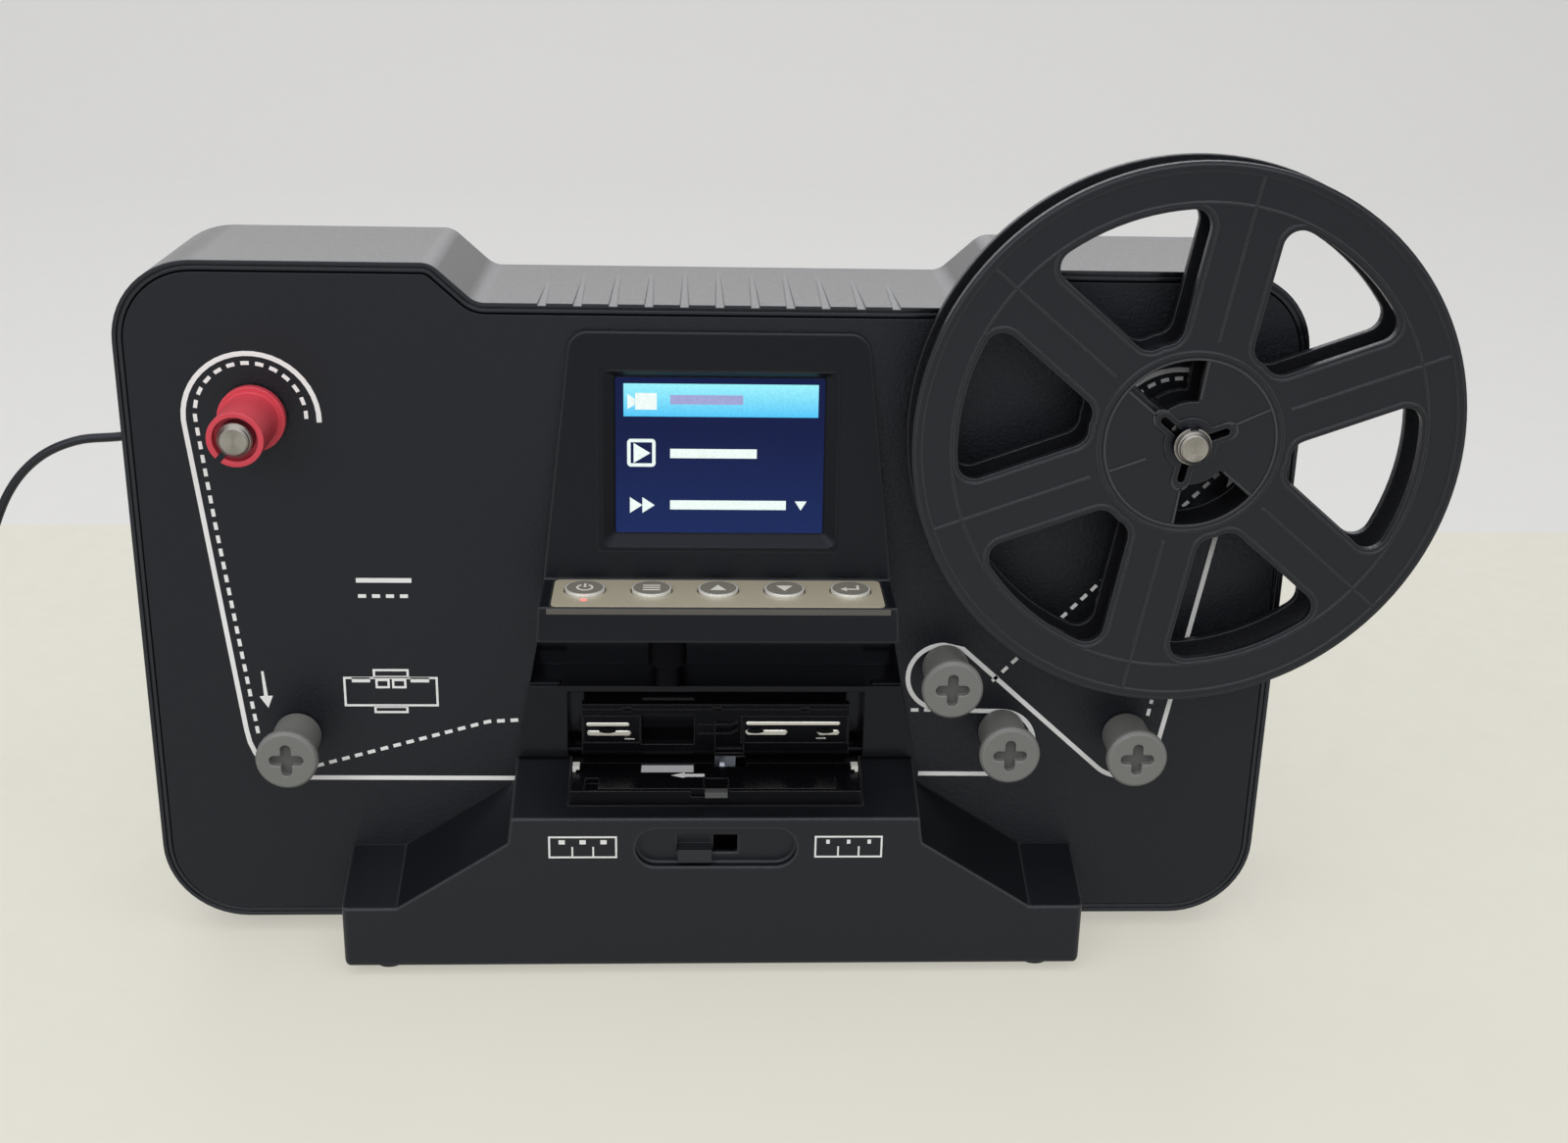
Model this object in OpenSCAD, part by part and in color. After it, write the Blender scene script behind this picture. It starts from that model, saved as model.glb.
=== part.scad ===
// Desktop scanner for 8 mm cine film: a thin upright housing on a stepped foot,
// a screen console over an open film gate, two reel spindles and four guide rollers.
// X runs to the right, Y to the back and Z up. The panel's face is the plane Y = 0
// and the underside of the base plate is Z = 0; the rubber feet reach below it.

/* [Housing] */
// Distance from each spindle to the housing's side
spindle_side = 30.5; // [28:0.5:40]
// Height of the two shoulders above the base's underside
body_top = 169; // [166:1:185]
// Height of the lower middle of the top
body_mid = 160; // [157:1:163]
// Height of the housing's bottom edge
body_bot = 2; // [1.6:0.1:3]
// Depth of the housing behind the panel's face
body_d = 45; // [43:1:60]
// Wall of the rear housing
wall = 2.2; // [1.6:0.1:3]
// Radius of the two top corners
corner_top = 19; // [12:1:26]
// Radius of the two bottom corners
corner_bot = 20; // [12:1:26]
// Distance from the centre to the middle of each shoulder's curve
dip_x = 60.4; // [56:0.2:68]
// Width of each shoulder's curve
dip_run = 14.2; // [13.4:0.2:18]
// Radius of the two bends in each shoulder's curve
dip_r = 5.5; // [4:0.5:6.5]
// Number of vent grooves on the top
vent_n = 11; // [5:2:13]
// Spacing of the vent grooves
vent_pitch = 8.1; // [6:0.1:9]
// Length of the middle vent groove
vent_long = 37; // [28:1:40]
// Length of the outermost vent grooves
vent_short = 23.5; // [15:0.5:27]

/* [Front panel] */
// Thickness of the panel
panel_t = 2.5; // [2:0.1:3]
// Gap between the panel's edge and the housing's wall
panel_gap = 0.4; // [0.2:0.1:0.8]

/* [Spindles and reel] */
// Sideways gap between the reel's edge and the widest part of the console
reel_gap = 2.5; // [1:0.5:10]
// Height of the spindles above the film bed
spindle_rise = 88.2; // [84:0.2:92]
// Radius of a spindle
spindle_r = 3.97; // [3.9:0.01:4]
// Reach of the spindles in front of the panel
spindle_reach = 20.8; // [19:0.1:24]
// Outside radius of the reel adapter on the left spindle
adapter_r = 6.3; // [6:0.05:6.35]
// Radius of the reel's flanges
reel_r = 63.5; // [60:0.5:64]
// Gap between the panel and the reel
reel_back = 3.6; // [3:0.1:4.5]
// Thickness of a reel flange
flange_t = 1.8; // [1.4:0.1:2.2]
// Space for the film between the flanges
film_gap = 9; // [8.6:0.1:9.6]
// Outside radius of the reel's core
core_r = 21.5; // [20:0.5:23]
// Width of a reel spoke
spoke_w = 16.5; // [14:0.5:20]
// Outer radius of the reel's windows
window_out = 53.2; // [46:0.2:54]

/* [Rollers] */
// Radius of a roller's barrel
barrel_r = 5.7; // [5:0.1:6.6]
// Radius of a roller's front cap
cap_r = 7.3; // [6.8:0.05:8]
// Thickness of a roller's front cap
cap_t = 2.2; // [1.6:0.1:3]
// Reach of the rollers in front of the panel
roller_reach = 15.4; // [14:0.1:18]
// Radius of the steel pins that carry the rollers
pin_r = 1.5; // [1.2:0.1:2]

/* [Console] */
// Distance from the lowered top down to the console's top edge
console_drop = 6; // [5:0.5:9]
// Height of the screen's face, from the key ledge to the console's top
face_h = 58.4; // [54:0.2:62]
// Height of the fascia under the keys
fascia_h = 8.3; // [7.5:0.1:9.5]
// Reach of the key ledge in front of the panel
ledge_reach = 24.2; // [23:0.2:27]
// Reach of the screen's face at its top
face_top = 1; // [0.8:0.1:2]
// Reach of the screen's face at its bottom
face_low = 6; // [5:0.1:8]
// Half width of the console at its top
console_hw_top = 34.3; // [33:0.1:37]
// Half width of the console at the key ledge
console_hw_low = 41; // [40.5:0.1:43]
// Width of the picture on the screen
lcd_w = 49.4; // [44:0.1:51]
// Height of the picture on the screen
lcd_h = 37; // [33:0.1:38]
// Distance from the console's top edge down to the screen's centre
lcd_drop = 29.1; // [26:0.1:30]
// Spacing of the keys
key_pitch = 15.45; // [14:0.05:16]
// Radius of a key
key_r = 4.6; // [4:0.05:4.8]
// Travel of a key
key_travel = 0.9; // [0.5:0.1:0.9]

/* [Base] */
// Reach of the base in front of the panel
base_reach = 20.3; // [20:0.1:24]
// Rise of the base's top from its front to the panel
base_rise = 7; // [6.6:0.1:7.4]
// Half width of the base's feet wings
wing_x = 90.5; // [88:0.5:96]
// Height of the wings at the front
wing_z = 15.5; // [13:0.5:18]
// Half width of the raised middle block
block_x = 49; // [48:0.2:52]
// Height of the middle block at the front
block_z = 39.8; // [39:0.1:40.4]
// Wall of the base
base_wall = 2.2; // [1.8:0.1:2.6]
// Height of the rubber feet
foot_h = 3; // [2:0.5:4]
// Radius of the rubber feet
foot_r = 4.4; // [3.5:0.1:5]
// Travel of the film selector
selector_travel = 6; // [5:0.5:7]

/* [Film gate] */
// Half width of the film bed
bed_x = 35.1; // [34.6:0.1:36]
// Height of the film bed
bed_z = 44.8; // [44.5:0.1:45]
// Reach of the film bed in front of the panel
bed_reach = 15.5; // [15:0.1:16]
// Half width of the gate door
door_x = 33; // [31:0.1:33.1]
// Length of the gate door from its hinge
door_len = 12.9; // [12:0.1:13]
// Thickness of the gate door
door_t = 2.6; // [2.2:0.1:2.8]
// Travel of the gate latch
latch_travel = 3; // [2:0.1:3]
// Side position of the lens and the light
lens_x = -11.9; // [-13:0.1:-11]

/* [Power lead] */
// Radius of the lead
cord_r = 1.25; // [1:0.05:1.4]
// Outer radius of the coil, at the middle of the lead
coil_r = 20; // [19:0.5:22]
// Spacing of the coil's turns
coil_pitch = 3.05; // [3.05:0.05:3.2]

/* [Hidden] */
$fn = 64;
// small overlap that keeps cuts clean
eps = 0.02;
// clearance between pieces that are fitted together
fit = 0.3;
// radial clearance of a shaft that turns in its bore
running = 0.05;

black = "#1b1b1d";
panel_black = "#161618";
deep_black = "#101011";
steel = "#b9bcc0";
grey = "#6d6e70";
board_green = "#1e5b3a";
white = "#eceae4";
red = "#c8242c";

// spindles and housing
spindle_x = console_hw_low + reel_gap + reel_r;
spindle_z = bed_z + spindle_rise;
body_hw = spindle_x + spindle_side;
rim_y = 0.4;
dip_h = body_top - body_mid;
dip_turn = asin(2 * dip_r / norm([dip_run, 2 * dip_r - dip_h])) - atan2(2 * dip_r - dip_h, dip_run);
vent_w = 2.1;
vent_tip_w = 0.9;
vent_depth = 0.55;
rim_line_in = 0.95;
rim_line_w = 0.4;
rim_line_d = 0.5;
panel_in = wall + panel_gap;

// screws that hold the rear housing to the panel's posts
screw_r = 1.45;
screw_head_r = 2.8;
screw_head_t = 1.8;
screw_start = 9;
screw_sink = 0.2;
pad_t = 4;
pad_r = 5;
post_r = 4;
screw_at = [for (s = [-1, 1], z = [22, 92, body_top - 11]) [s * (body_hw - 11), z]];

// spindle drive
shaft_r = 3;
bush_r = 5;
bush_flange_t = 0.8;
gear_m = 0.8;
gear_n = 40;
pinion_n = 12;
gear_gap = 0.15;
gear_y = panel_t + 2;
gear_t = 5;
drive_step = gear_m * (gear_n + pinion_n) / 2 + gear_gap;
bracket_y = gear_y + gear_t + 0.6;
bracket_t = 1.2;
bracket_w = 28;
bracket_up = 20.5;
bracket_low = 36;
bracket_post_r = 3;
motor_r = 12;
motor_y = bracket_y + bracket_t;
motor_cap_t = 1.5;
motor_room = 2.2;
motor_shaft_r = 1;

// reel
reel_y1 = -reel_back;
reel_y0 = reel_y1 - 2 * flange_t - film_gap;
front_y = reel_y0 + flange_t;
rear_y = reel_y1 - flange_t;
window_in = core_r + 2.4;
window_round = 4;
spoke_turn = 20;
bead_h = 0.4;
bead_w = 1.4;
bead_line = 0.5;
sector_low = 64;
sector_turn = 56;
rim_w = 2.2;
boss_r = 6.2;
arm_w = 4.2;
arm_r = 8.4;
slot_w = 1.8;
fin_w = 1.3;
adapter_cup = 4.2;
adapter_cup_r = spindle_r + 1.1;

// rollers, from left to right: places on the panel, set off from spindles, base and film bed
roller_at = [
  [5 - spindle_x, bed_z + 8], [block_x + 7, bed_z + 26.4],
  [block_x + 21.8, bed_z + 9.2], [spindle_x - 5.1, bed_z + 8.2]
];
roller_back = 0.6;
cross_len = 8.2;
cross_w = 2.6;
cross_depth = 1.7;
cap_edge = 0.6;

// console
console_top = body_mid - console_drop;
ledge_z = console_top - face_h;
console_low = ledge_z - fascia_h;
lcd_z = console_top - lcd_drop;
face_tilt = atan((face_low - face_top) / face_h);
console_wall = 2;
console_round = 4.5;
console_hw_foot = console_hw_low + 0.4;
lip_drop = 1.7;
fascia_reach = ledge_reach + 0.6;
key_y = -(face_low + 7.4);
plate_w = console_hw_low * 2 - 5.6;
plate_y0 = -(ledge_reach - 0.5);
plate_y1 = -(face_low + 0.4);
plate_t = 1.2;
plate_round = 1.6;
key_n = 5;
key_rise = 0.8;
key_clear = 0.35;
key_lip_t = 0.8;
key_lip = 0.6;
key_stem_r = 1.5;
led_r = 0.8;
led_at = [-2 * key_pitch, key_y - key_r - key_lip - led_r - fit];
floor_z = console_low + console_wall;
camera_board_t = 1;
key_board_t = 1;
key_board_z = ledge_z - plate_t - key_lip_t - key_travel - 1.5 - key_board_t;
bevel_side = 3.1;
bevel_up = 1.7;
bevel_low = 3.7;
lcd_y = -face_top - (console_top - lcd_z) * tan(face_tilt);

// base
base_slope = atan(base_rise / base_reach);
wing_in = 77.2;
shoulder_in = block_x + 0.8;
shoulder_z = 33.2;
plate_z = body_bot;
plate_back = body_d - 3;
base_edge = 1.6;
foot_in = 10;
foot_sink = 0.6;
recess_w = 39;
recess_h = 10.2;
recess_z = 32;
recess_depth = 2.4;
knob_w = 8.2;
knob_h = 4.2;
knob_out = 1.9;
knob_x = -5.1;
knob_drop = 4.3;
neck_w = 8;
neck_t = 1.2;
keeper_w = 9;
keeper_y = 1.6;

// film gate
pocket_z = bed_z - 8.8;
door_in = 2;
door_gap = 0.9;
hinge_y = door_in + 0.2;
hinge_z = bed_z + door_gap + door_in;
hinge_r = 1;
knuckle_r = 1.85;
frame_x = bed_x + 1.3;
frame_t = 1.2;
frame_wall = 1.5;
frame_depth = 8;
frame_top = hinge_z + door_len + 4;
frame_low = block_z + base_rise + fit;
frame_step = frame_top + frame_wall;
hood_back = 14;
latch_y0 = -bed_reach + 0.9;
latch_y1 = -8.7;
latch_x0 = -28.5;
latch_x1 = 29;
latch_z = bed_z - 1.4;
latch_t = 1.3;
bar_h = 0.4;
tab_w = 5.6;
tab_reach = 1.7;
tab_y0 = -5;
tab_y1 = -2.4;
tab_lift = 0.6;
tab_t = 0.9;
light_w = 13;
light_y0 = -5.2;
light_y1 = -0.6;
lens_y = -4;
lens_low = hinge_z + 20.8;
lens_step = lens_low + (console_low - lens_low) * 0.29;
lens_r = 4.6;
lens_tip_r = 3;
claw_x = 1;
claw_w = 1.2;
claw_travel = 4.2;
rail_r = 1.1;
rail_y = 12.5;
rail_z = bed_z - 4;
step_motor_r = 9;
step_motor_len = 20;

// electronics at the back
board_t = 1.6;
board_y = body_d - wall - 4.2 - board_t;
socket_z = spindle_z - 21;
board_z0 = socket_z - 52;
board_z1 = socket_z + 12;
jack_at = [19.5 - body_hw, socket_z];
usb_x = jack_at.x + 34;
av_x = usb_x + 20;
card_x = av_x + 30;
board_x0 = jack_at.x - 8;
board_x1 = card_x + 74;
motor_len = board_y - motor_y - motor_cap_t - motor_room;

// lead: the places it passes, chosen by hand, from the plug to the floor
floor_level = -foot_h;
lie_z = floor_level + cord_r + 0.05;
plug_r = 4.6;
plug_len = 16;
relief_len = 10;
plug_y = body_d + fit;
lead_y = plug_y + plug_len + relief_len;
lead_route = [
  [jack_at.x, lead_y, jack_at.y], [jack_at.x, lead_y + 5, jack_at.y], [-122, 83, 111],
  [-132, 87, 108.5], [-146, 86, 105.5], [-162, 82, 104], [-174, 80, 103.2], [-185, 80, 98],
  [-194, 80, 88], [-201, 79, 72], [-207, 76, 52], [-214, 71, 32], [-222, 64, 15], [-232, 54, 4],
  [-242, 46.4, lie_z], [-251, 42.6, lie_z], [-257, 42, lie_z], [-259.5, 42, lie_z]
];
coil_at = [-262, 42 + coil_r];
layer_turns = 3;
coil_layers = 4;
coil_layer = 2 * cord_r + 0.55;
tail_z = lie_z + (coil_layers - 1) * coil_layer;
tail_route = [
  [-264.5, 42, tail_z], [-267, 42, tail_z], [-273, 41, 6], [-280, 37.5, 4.2], [-284.5, 31, 3.2],
  [-286, 24.5, 3], [-286, 22, 3]
];
adapter_w = 46;
adapter_d = 66;
adapter_h = 30;
adapter_round = 4;
prong_x = 6.35;
prong_t = 1.5;
prong_len = 17;
prong_z = [9, 15.3];
sleeve_len = 6;

// Helpers: a flat shape drawn in X and Z and carried along Y, and one drawn in Y and Z along X
module along_y(y0, y1) {
  translate([0, y1, 0]) rotate([90, 0, 0]) linear_extrude(y1 - y0) children();
}

module along_x(x0, x1) {
  translate([x0, 0, 0]) rotate([90, 0, 90]) linear_extrude(x1 - x0) children();
}

module rod_y(at, y0, y1, r) {
  translate([at.x, y1, at.y]) rotate([90, 0, 0]) cylinder(r = r, h = y1 - y0);
}

module rod_x(y, z, x0, x1, r) {
  translate([x0, y, z]) rotate([0, 90, 0]) cylinder(r = r, h = x1 - x0);
}

module block(x0, x1, y0, y1, z0, z1) {
  translate([x0, y0, z0]) cube([x1 - x0, y1 - y0, z1 - z0]);
}

module span(x0, x1, z0, z1) {
  translate([x0, z0]) square([x1 - x0, z1 - z0]);
}

// Front outline of the housing, drawn in by inset
module outline(inset) {
  top = body_top - inset;
  bot = body_bot + inset;
  side = body_hw - inset;
  difference() {
    union() {
      span(-side, side, body_bot + corner_bot, body_top - corner_top);
      span(corner_bot - body_hw, body_hw - corner_bot, bot, body_bot + corner_bot + eps);
      span(corner_top - body_hw, body_hw - corner_top, body_top - corner_top - eps, top);
      for (s = [-1, 1]) {
        translate([s * (body_hw - corner_top), body_top - corner_top]) circle(corner_top - inset);
        translate([s * (body_hw - corner_bot), body_bot + corner_bot]) circle(corner_bot - inset);
      }
    }
    span(-dip_x + dip_run / 2, dip_x - dip_run / 2, body_mid - inset, body_top + 1);
    for (s = [0, 1]) mirror([s, 0]) shoulder_air(inset);
  }
}

// The space beside one shoulder: two bends joined by a straight slope
module shoulder_air(inset) {
  high = [dip_x + dip_run / 2, body_top - dip_r];
  low = [dip_x - dip_run / 2, body_mid + dip_r];
  square_to = [sin(dip_turn), -cos(dip_turn)];
  foot = low + (dip_r + inset) * square_to;
  brow = high - (dip_r - inset) * square_to;
  translate(low) circle(dip_r + inset);
  polygon([low, foot, brow, [brow.x, body_top + 1], [low.x, body_top + 1]]);
  difference() {
    span(brow.x - eps, high.x, brow.y, body_top + 1);
    translate(high) circle(dip_r - inset);
  }
}

// Shallow grooves that run out to nothing towards the back
module vent_grooves() {
  half = (vent_n - 1) / 2;
  for (i = [-half:half]) {
    run = vent_long - (vent_long - vent_short) * pow(abs(i) / half, 3);
    translate([i * vent_pitch, run, body_mid]) rotate([atan(vent_depth / run), 0, 0]) linear_extrude(2) {
      polygon([
        [-vent_tip_w / 2, 0], [vent_tip_w / 2, 0], [vent_w / 2, -run - 1], [-vent_w / 2, -run - 1]
      ]);
    }
  }
}

// Casing

module rear_housing() {
  color(black) difference() {
    union() {
      difference() {
        along_y(rim_y, body_d) outline(0);
        along_y(rim_y - 1, body_d - wall) outline(wall);
      }
      for (p = screw_at) rod_y(p, body_d - wall - pad_t, body_d - wall + eps, pad_r);
      for (p = board_posts()) rod_y(p, board_y + board_t, body_d - wall + eps, 3);
    }
    vent_grooves();
    along_y(rim_y - 1, rim_y + rim_line_d) difference() {
      outline(rim_line_in);
      outline(rim_line_in + rim_line_w);
    }
    for (p = screw_at) {
      rod_y(p, body_d - wall - pad_t - 1, body_d + 1, screw_r + fit);
      rod_y(p, body_d - screw_head_t, body_d + 1, screw_head_r + fit);
    }
    for (b = socket_boxes()) {
      block(b[0] - fit, b[1] + fit, body_d - wall - 1, body_d + 1, b[2] - fit, b[3] + fit);
    }
  }
}

function board_posts() = [
  for (x = [board_x0 + 31, board_x1 - 6], z = [board_z0 + 6, board_z1 - 6]) [x, z]
];

// Left, right, low and high sides of the power, USB, AV and card sockets
function socket_boxes() = [
  [jack_at.x - 5, jack_at.x + 5, jack_at.y - 5.5, jack_at.y + 5.5],
  [usb_x - 5, usb_x + 5, socket_z - 3.2, socket_z + 3.2],
  [av_x - 4, av_x + 4, socket_z - 4, socket_z + 4],
  [card_x - 14, card_x + 14, socket_z - 2.4, socket_z + 2.4]
];

module front_panel() {
  color(panel_black) difference() {
    union() {
      along_y(0, panel_t) outline(panel_in);
      for (p = screw_at) rod_y(p, panel_t - eps, body_d - wall - pad_t, post_r);
      for (p = bracket_holes()) rod_y(p, panel_t - eps, bracket_y, bracket_post_r);
    }
    for (p = screw_at) rod_y(p, panel_t + screw_start - 1, body_d, screw_r + running);
    for (s = [-1, 1]) rod_y([s * spindle_x, spindle_z], -1, panel_t + 1, bush_r + running);
    for (p = roller_at) rod_y(p, -1, panel_t + 1, pin_r + running);
    lens_relief();
    along_y(-1, panel_t + 1) {
      span(-console_hw_top + 3, console_hw_top - 3, floor_z, console_top - 4);
      span(-frame_x - frame_wall - fit, frame_x + frame_wall + fit, bed_z - 10 - fit, frame_step + 1);
      gate_front(frame_step + fit, console_low - fit, 0);
    }
  }
}

function bracket_holes() = [
  for (s = [-1, 1], x = [-1, 1], z = [bracket_up - 3.5, 3.5 - bracket_low])
    [s * spindle_x + x * (bracket_w / 2 - 2.5), spindle_z + z]
];

module housing_screws() {
  color(steel) for (p = screw_at) {
    difference() {
      union() {
        rod_y(p, panel_t + screw_start, body_d - screw_sink, screw_r);
        rod_y(p, body_d - screw_head_t, body_d - screw_sink, screw_head_r);
      }
      block(p.x - 1.8, p.x + 1.8, body_d - 1, body_d + 1, p.y - 0.4, p.y + 0.4);
      block(p.x - 0.4, p.x + 0.4, body_d - 1, body_d + 1, p.y - 1.8, p.y + 1.8);
    }
  }
}

// Console

module console_side(back) {
  polygon([
    [back, console_top], [-face_top, console_top], [-face_low, ledge_z], [-ledge_reach, ledge_z],
    [-ledge_reach, ledge_z - lip_drop], [-fascia_reach, console_low], [back, console_low]
  ]);
}

module console_front() {
  slope = (console_hw_low - console_hw_top) / (console_top - ledge_z);
  lean = atan(slope);
  corner = [
    console_hw_top + console_round * (slope - 1 / cos(lean)),
    console_top - console_round
  ];
  polygon([
    [-console_hw_foot, console_low], [-console_hw_low, ledge_z],
    [-corner.x - console_round * cos(lean), corner.y + console_round * sin(lean)], [-corner.x, console_top],
    [corner.x, console_top], [corner.x + console_round * cos(lean), corner.y + console_round * sin(lean)],
    [console_hw_low, ledge_z], [console_hw_foot, console_low]
  ]);
  for (s = [-1, 1]) translate([s * corner.x, corner.y]) circle(console_round);
}

// A frame whose origin is the screen's centre on the console's face, with its depth along Y
module on_screen() {
  translate([0, lcd_y, lcd_z]) rotate([-face_tilt, 0, 0]) children();
}

module screen_bevel() {
  hull() {
    on_screen() block(-lcd_w / 2 - bevel_side, lcd_w / 2 + bevel_side, -eps, 0,
      -lcd_h / 2 - bevel_low, lcd_h / 2 + bevel_up);
    on_screen() block(-lcd_w / 2, lcd_w / 2, console_wall, console_wall + eps, -lcd_h / 2, lcd_h / 2);
  }
}

module console_cover() {
  color(black) difference() {
    union() {
      difference() {
        intersection() {
          along_x(-60, 60) console_side(0);
          along_y(-40, 0) console_front();
        }
        intersection() {
          along_x(-60, 60) offset(delta = -console_wall) console_side(console_wall + 1);
          along_y(-40, 1) offset(delta = -console_wall) console_front();
        }
      }
      for (s = [-1, 1]) {
        block(s * key_rib_x() - 1, s * key_rib_x() + 1, -ledge_reach + 1, -face_low,
          floor_z - eps, key_board_z);
      }
    }
    screen_bevel();
    block(-plate_w / 2 - 0.1, plate_w / 2 + 0.1, plate_y0 - 0.1, plate_y1 + 0.1,
      ledge_z - plate_t, ledge_z + 1);
    block(-plate_w / 2 + 1.5, plate_w / 2 - 1.5, plate_y0 + 1.5, plate_y1 - fit, ledge_z - 4, ledge_z + 1);
    translate([lens_x, lens_y, console_low - 1]) cylinder(r = lens_r + fit / 3, h = console_wall + 2);
  }
}

function key_rib_x() = plate_w / 2 - 1.2;

module screen_window() {
  color("#22304a") on_screen() block(-lcd_w / 2 - 3, lcd_w / 2 + 3, console_wall + 0.1, console_wall + 0.9,
    -lcd_h / 2 - 3, lcd_h / 2 + 3);
}

module screen_module() {
  color("#2c2d30") on_screen() {
    block(-lcd_w / 2 - 3.4, lcd_w / 2 + 3.4, console_wall + 0.9, console_wall + 4.4,
      -lcd_h / 2 - 4, lcd_h / 2 + 3.6);
  }
}

function key_x(i) = (i - (key_n - 1) / 2) * key_pitch;

module key_plate() {
  half = plate_w / 2 - plate_round;
  color("#b7ab92") difference() {
    translate([0, 0, ledge_z - plate_t]) linear_extrude(plate_t + 0.1) {
      span(-half, half, plate_y0, plate_y1);
      span(-plate_w / 2, plate_w / 2, plate_y0 + plate_round, plate_y1 - plate_round);
      for (x = [-half, half], y = [plate_y0 + plate_round, plate_y1 - plate_round]) {
        translate([x, y]) circle(plate_round);
      }
    }
    for (i = [0:key_n - 1]) translate([key_x(i), key_y, ledge_z - plate_t - 1]) {
      cylinder(r = key_r + key_clear, h = 4);
    }
    translate([led_at.x, led_at.y, ledge_z - plate_t - 1]) cylinder(r = led_r + running, h = 4);
  }
}

module key_board() {
  color(board_green) block(-plate_w / 2 + 0.4, plate_w / 2 - 0.4, -ledge_reach + 3, -face_low - 1,
    key_board_z, key_board_z + key_board_t);
}

module indicator_light() {
  color(red) translate([led_at.x, led_at.y, key_board_z + key_board_t]) {
    cylinder(r = led_r, h = ledge_z - key_board_z - key_board_t + 0.2);
  }
}

// A round key: its top, a lip that stops it under the plate and the stem that meets the board
module key(i) {
  lip_top = ledge_z - plate_t - 0.1;
  color("#4a4a4c") translate([key_x(i), key_y, 0]) {
    translate([0, 0, lip_top - key_lip_t]) cylinder(r = key_r, h = ledge_z + key_rise - lip_top + key_lip_t);
    translate([0, 0, lip_top - key_lip_t]) cylinder(r = key_r + key_lip, h = key_lip_t);
    translate([0, 0, key_board_z + key_board_t + key_travel + 0.2]) {
      cylinder(r = key_stem_r, h = lip_top - key_lip_t - key_board_z - key_board_t - key_travel - 0.2 + eps);
    }
  }
}

module key_power() { key(0); }
module key_menu() { key(1); }
module key_up() { key(2); }
module key_down() { key(3); }
module key_enter() { key(4); }

// Camera over the gate

module camera_board() {
  color(board_green) block(lens_x - 13, lens_x + 13, -face_low - 0.6, 14, floor_z, floor_z + camera_board_t);
}

module lens_barrel() {
  color(deep_black) translate([lens_x, lens_y, 0]) difference() {
    union() {
      translate([0, 0, lens_step]) cylinder(r = lens_r, h = floor_z - lens_step);
      translate([0, 0, lens_low]) cylinder(r = lens_tip_r, h = lens_step - lens_low + eps);
    }
    translate([0, 0, lens_low - 1]) cylinder(r1 = lens_tip_r - 0.3, r2 = lens_tip_r - 1.4, h = 4);
  }
}

// Hollow in the wall behind the lens
module lens_relief() {
  translate([lens_x, lens_y, lens_low - 1]) cylinder(r = lens_r + fit, h = floor_z - lens_low + 2);
}

// Base

// Front outline of the base, drawn in by inset and turned to the slope of its top
module base_front(inset) {
  points = [
    [wing_x - inset, -60], [wing_x - inset, wing_z - inset], [wing_in - inset * 0.3, wing_z - inset],
    [shoulder_in - inset, shoulder_z - inset * 0.6], [block_x - inset, block_z - inset]
  ];
  tilted = [for (p = points) [p.x, p.y * cos(base_slope) + base_reach * sin(base_slope)]];
  polygon(concat(tilted, [for (i = [len(tilted) - 1:-1:0]) [-tilted[i].x, tilted[i].y]]));
}

// The outline carried back along the slope of the base's top
module base_form(inset) {
  rotate([base_slope, 0, 0]) along_y(-80, 60) base_front(inset);
}

module base_stand() {
  color(black) difference() {
    intersection() {
      base_form(0);
      along_y(-base_reach, 0) for (s = [-1, 1]) {
        span(-wing_x + base_edge, wing_x - base_edge, 0, block_z + base_rise + 5);
        span(-wing_x, wing_x, base_edge, block_z + base_rise + 5);
        translate([s * (wing_x - base_edge), base_edge]) circle(base_edge);
      }
      linear_extrude(block_z + base_rise + 5) for (s = [-1, 1]) {
        span(-wing_x, wing_x, base_edge - base_reach, 0);
        span(-wing_x + base_edge, wing_x - base_edge, -base_reach, 0);
        translate([s * (wing_x - base_edge), base_edge - base_reach]) circle(base_edge);
      }
    }
    difference() {
      intersection() {
        base_form(base_wall);
        block(-wing_x, wing_x, base_wall - base_reach, 1, -1, block_z + base_rise);
      }
      // floor and side walls of the pocket that holds the film bed
      block(-bed_x - fit - base_wall, bed_x + fit + base_wall, -bed_reach - fit - base_wall, 2,
        pocket_z - base_wall, 80);
      // backing of the selector's recess
      block(-recess_w / 2 - base_wall, recess_w / 2 + base_wall, -base_reach - 1,
        recess_depth + keeper_y - base_reach, recess_z - recess_h / 2 - base_wall, 80);
    }
    block(-bed_x - fit, bed_x + fit, -bed_reach - fit, 1, pocket_z, 80);
    along_y(-base_reach - 1, recess_depth - base_reach) stadium(recess_w, recess_h, recess_z);
    along_y(-base_reach, recess_depth + 3 - base_reach) {
      span(knob_x - neck_w / 2 - fit, knob_x + neck_w / 2 + selector_travel + fit,
        recess_z - knob_h / 2 - fit, recess_z + knob_h / 2 + fit);
    }
  }
}

module stadium(w, h, z) {
  translate([0, z]) {
    square([w - h, h], center = true);
    for (s = [-1, 1]) translate([s * (w - h) / 2, 0]) circle(h / 2);
  }
}

module base_plate() {
  color(deep_black) difference() {
    block(-wing_x + base_wall + fit, wing_x - base_wall - fit, base_wall + fit - base_reach, plate_back,
      0, plate_z);
    for (p = feet_at()) translate([p.x, p.y, -1]) cylinder(r = foot_r + 0.2, h = 1 + foot_sink);
  }
}

function feet_at() = [
  for (x = [-1, 1], y = [base_wall + fit + foot_r + 0.6 - base_reach, plate_back - foot_r - 2])
    [x * (wing_x - foot_in), y]
];

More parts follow.
